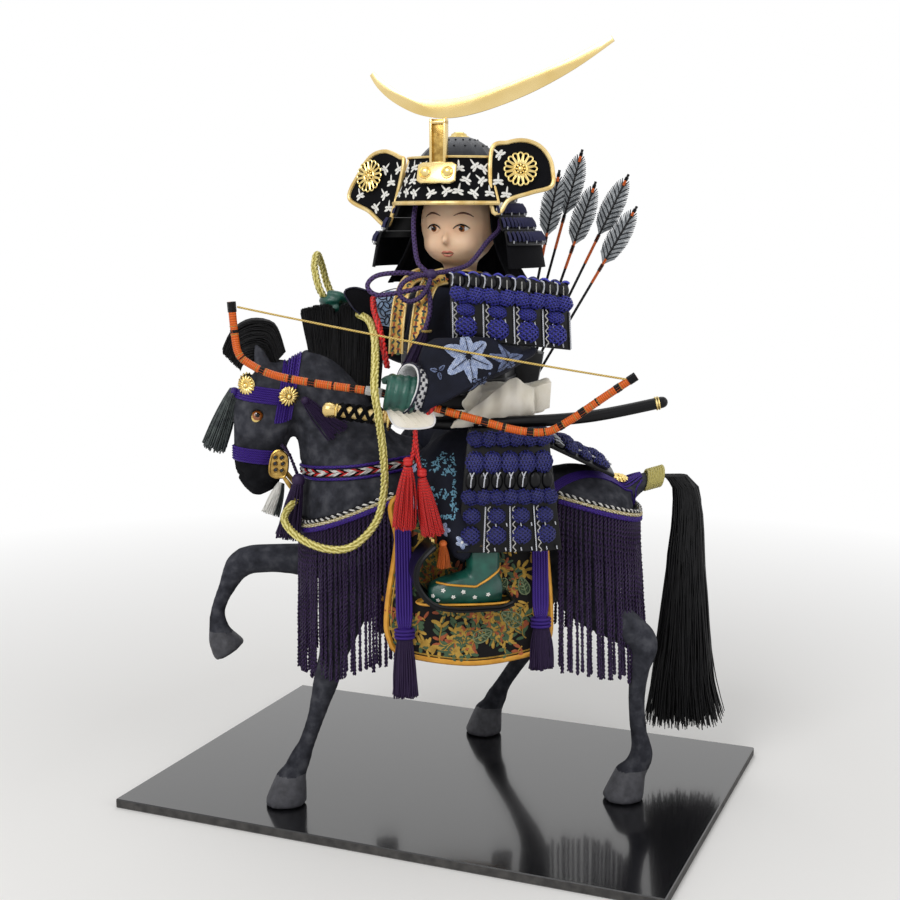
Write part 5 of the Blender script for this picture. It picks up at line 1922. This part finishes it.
piece("scabbard_lacquered", joinMeshes((cordMesh([scabbardLine], 3.9 * mm, 4, lambda t: 1 - 0.1 * t), 0),
                                       (ringsAlong(scabbardLine, (0.012, 0.03, 0.965, 0.985), 3.7 * mm,
                                               0.6 * mm), 1),
                                       (ballMesh([scabbardLine[-1]], (3.4 * mm,) * 3, 16, 10), 0)),
      [lacquerMatt, giltCast], ["scabbard"])
gripLine = [guardAt - along * (0.5 + 39.0 * k / 40) * mm for k in range(41)]
wraps = []
for k in range(5):   # flat black bands cross between the diamonds and stand above them
    for left in (False, True):
        wraps += twisted(gripLine[5:33], (3.85 + 0.12 * k) * mm, 13 * mm, 2, left)
turnTo = along.to_track_quat("Z", "Y").to_matrix().to_4x4()
disc = bmesh.new()
bmesh.ops.create_cone(disc, cap_ends=True, segments=32, radius1=0.0085, radius2=0.0085, depth=1.7 * mm,
                      matrix=Matrix.Translation(guardAt - along * 0.2 * mm) @ turnTo)
bmesh.ops.bevel(disc, geom=[e for e in disc.edges if e.calc_face_angle(0) > 1], offset=0.5 * mm, segments=2,
                profile=0.5, affect="EDGES", material=-1)
capLine = [guardAt - along * s * mm for s in (33.5, 35, 37, 39, 40.4, 41.2)]
capMesh = cordMesh([capLine], 4.7 * mm, 4, lambda t: 0.88 + 0.16 * math.sin(math.pi * min(1,
        t * 1.15)) - 0.25 * t ** 6)
piece("sword_hilt_wrapped", joinMeshes((cordMesh([gripLine[:36]], 3.75 * mm, 3), 3),
                                       (cordMesh(wraps, 1.35 * mm, 0), 0), (meshFrom(disc), 2), (capMesh, 4),
                                       (ringsAlong(gripLine, (0.04, 0.1, 0.83), 4.1 * mm, 0.8 * mm), 2)),
      [clothBlack, goldString, giltCast, goldPiping, giltSheet], ["sword_hilt"])

# the bow: orange rattan over bamboo, with black bindings, fine pale lines and a white grip wrap
bowLine = smoothLine(bowKnots, 1 * mm)
bands, fines, count = [], [], len(bowLine)
for share, wide in ((0.06, 2), (0.12, 1), (0.17, 3), (0.235, 2), (0.275, 4), (0.325, 1), (0.36, 3),
                    (0.395, 2), (0.43, 4), (0.56, 3), (0.6, 1), (0.645, 4), (0.69, 2),
                    (0.74, 4), (0.775, 1), (0.81, 3), (0.86, 4), (0.9, 1), (0.945, 3)):
    i = int(share * count)
    bands.append(bowLine[i:i + wide + 1])
    fines += [(i - 1.5) / count, (i + wide + 1.5) / count]
grip = [i for i, p in enumerate(bowLine) if -0.06 < p.x < -0.049]
piece("bow_rattan", joinMeshes((cordMesh([bowLine], 2.35 * mm, 3), 0),
                               (cordMesh([band for band in bands if len(band) > 1], 2.5 * mm, 2), 1),
                               (ringsAlong(bowLine, fines, 2.25 * mm, 0.25 * mm), 2),
                               (cordMesh([bowLine[grip[0]:grip[-1]]], 2.7 * mm, 2), 3),
                               (cordMesh([bowLine[:8], bowLine[-8:]], 2.6 * mm, 2), 1)),
      [rattan, rattanBlack, goldString, whiteCord], ["bow"])

# the quiver and its arrows, with barred vanes cut into barbs
quiverShape = [(0.04, 0.246), (0.058, 0.244), (0.065, 0.28), (0.044, 0.283)]
quiverMesh = sheetFrom(quiverShape, 22 * mm, 4 * mm, Matrix.Translation(at(0, 0.024, 0)))
piece("quiver_lacquered", quiverMesh, lacquerMatt, ["quiver"])
arrowStyle = {"shaft": 0.9 * mm, "vaneWide": 7.6 * mm, "vaneLong": 38 * mm, "barbs": 30, "sweep": 6.5 * mm}
arrows = [((0.046, 0.022), (0.0765, 0.03, 0.3985)), ((0.0475, 0.028), (0.0925, 0.034, 0.412)),
          ((0.049, 0.018), (0.1, 0.026, 0.391)),
          ((0.0505, 0.026), (0.1235, 0.032, 0.396)), ((0.052, 0.019), (0.1275, 0.024, 0.375))]
for index, (foot, nock) in enumerate(arrows):
    start, tip = at(foot[0], foot[1], 0.25), at(*nock)
    along = (tip - start).normalized()
    turnTo = along.to_track_quat("Z", "Y").to_matrix().to_4x4()
    facingTurn = math.degrees(math.atan2((turnTo.inverted() @ Vector((1, 0, 0))).y,
                                         (turnTo.inverted() @ Vector((1, 0, 0))).x))
    greys, blacks = [], []
    for turn in (facingTurn + 8, facingTurn + 172, facingTurn + 90):
        base = Matrix.Translation(tip - along * (arrowStyle["vaneLong"]
                + 0.006)) @ turnTo @ Matrix.Rotation(math.radians(turn), 4, "Z")
        # barbs swept forward from the shaft, their colour changing every third one
        for k in range(arrowStyle["barbs"]):
            t = (k + 0.5) / arrowStyle["barbs"]
            wide = arrowStyle["vaneWide"] * math.sin(math.pi * min(1,
                    0.16 + t * 0.92)) ** 0.45 * random.uniform(0.96, 1.03)
            z = t * arrowStyle["vaneLong"]
            line = [base @ Vector((0, 0, z)),
                    base @ Vector((wide * 0.5, 0.1 * mm, z + arrowStyle["sweep"] * 0.55)),
                    base @ Vector((wide, 0.2 * mm, z + arrowStyle["sweep"]))]
            (blacks if k % 3 == 2 else greys).append(line)
    bound = [tip - along * (arrowStyle["vaneLong"] + 6.5 * mm + k * 0.9 * mm)
             for k in range(6)] + [tip - along * (4.2 * mm - k * 0.8 * mm) for k in range(3)]
    line = [start.lerp(tip, k / 40) for k in range(41)]
    side = along.orthogonal().normalized()
    up = along.cross(side)
    ties = [[spot + (side * math.cos(a) + up * math.sin(a)) * 0.95 * mm for a in ringAngles(12)]
            for spot in bound]
    piece(f"arrow_feathered_{index + 1}", joinMeshes((cordMesh(greys, 0.8 * mm, 0, lambda t: 1 - 0.55 * t),
            0), (cordMesh(blacks, 0.8 * mm, 0, lambda t: 1 - 0.55 * t), 1),
                                                     (cordMesh([line], arrowStyle["shaft"], 1), 2),
                                                     (cordMesh([line[24:30], line[38:40]],
                                                             arrowStyle["shaft"] * 1.12, 1), 3),
                                                     (cordMesh(ties, 0.45 * mm, 0, closed=True), 2)),
          [barbGrey, barbBlack, rattanBlack, rattan], [f"arrow_{index + 1}"])
print("weapons ready")


# the board: lacquer on top, raw at its edge
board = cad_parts["ground_board"]
board.data.materials.clear()
board.data.materials.append(lacquerBlack)
board.data.materials.append(rawEdge)
for face in board.data.polygons:
    face.material_index = 1 if abs(face.normal.z) < 0.5 and face.area > 1e-6 else 0

for name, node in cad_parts.items():
    if not node.hide_render and not node.data.materials:
        print("bare node", name)

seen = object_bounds()
print("all pieces ready")
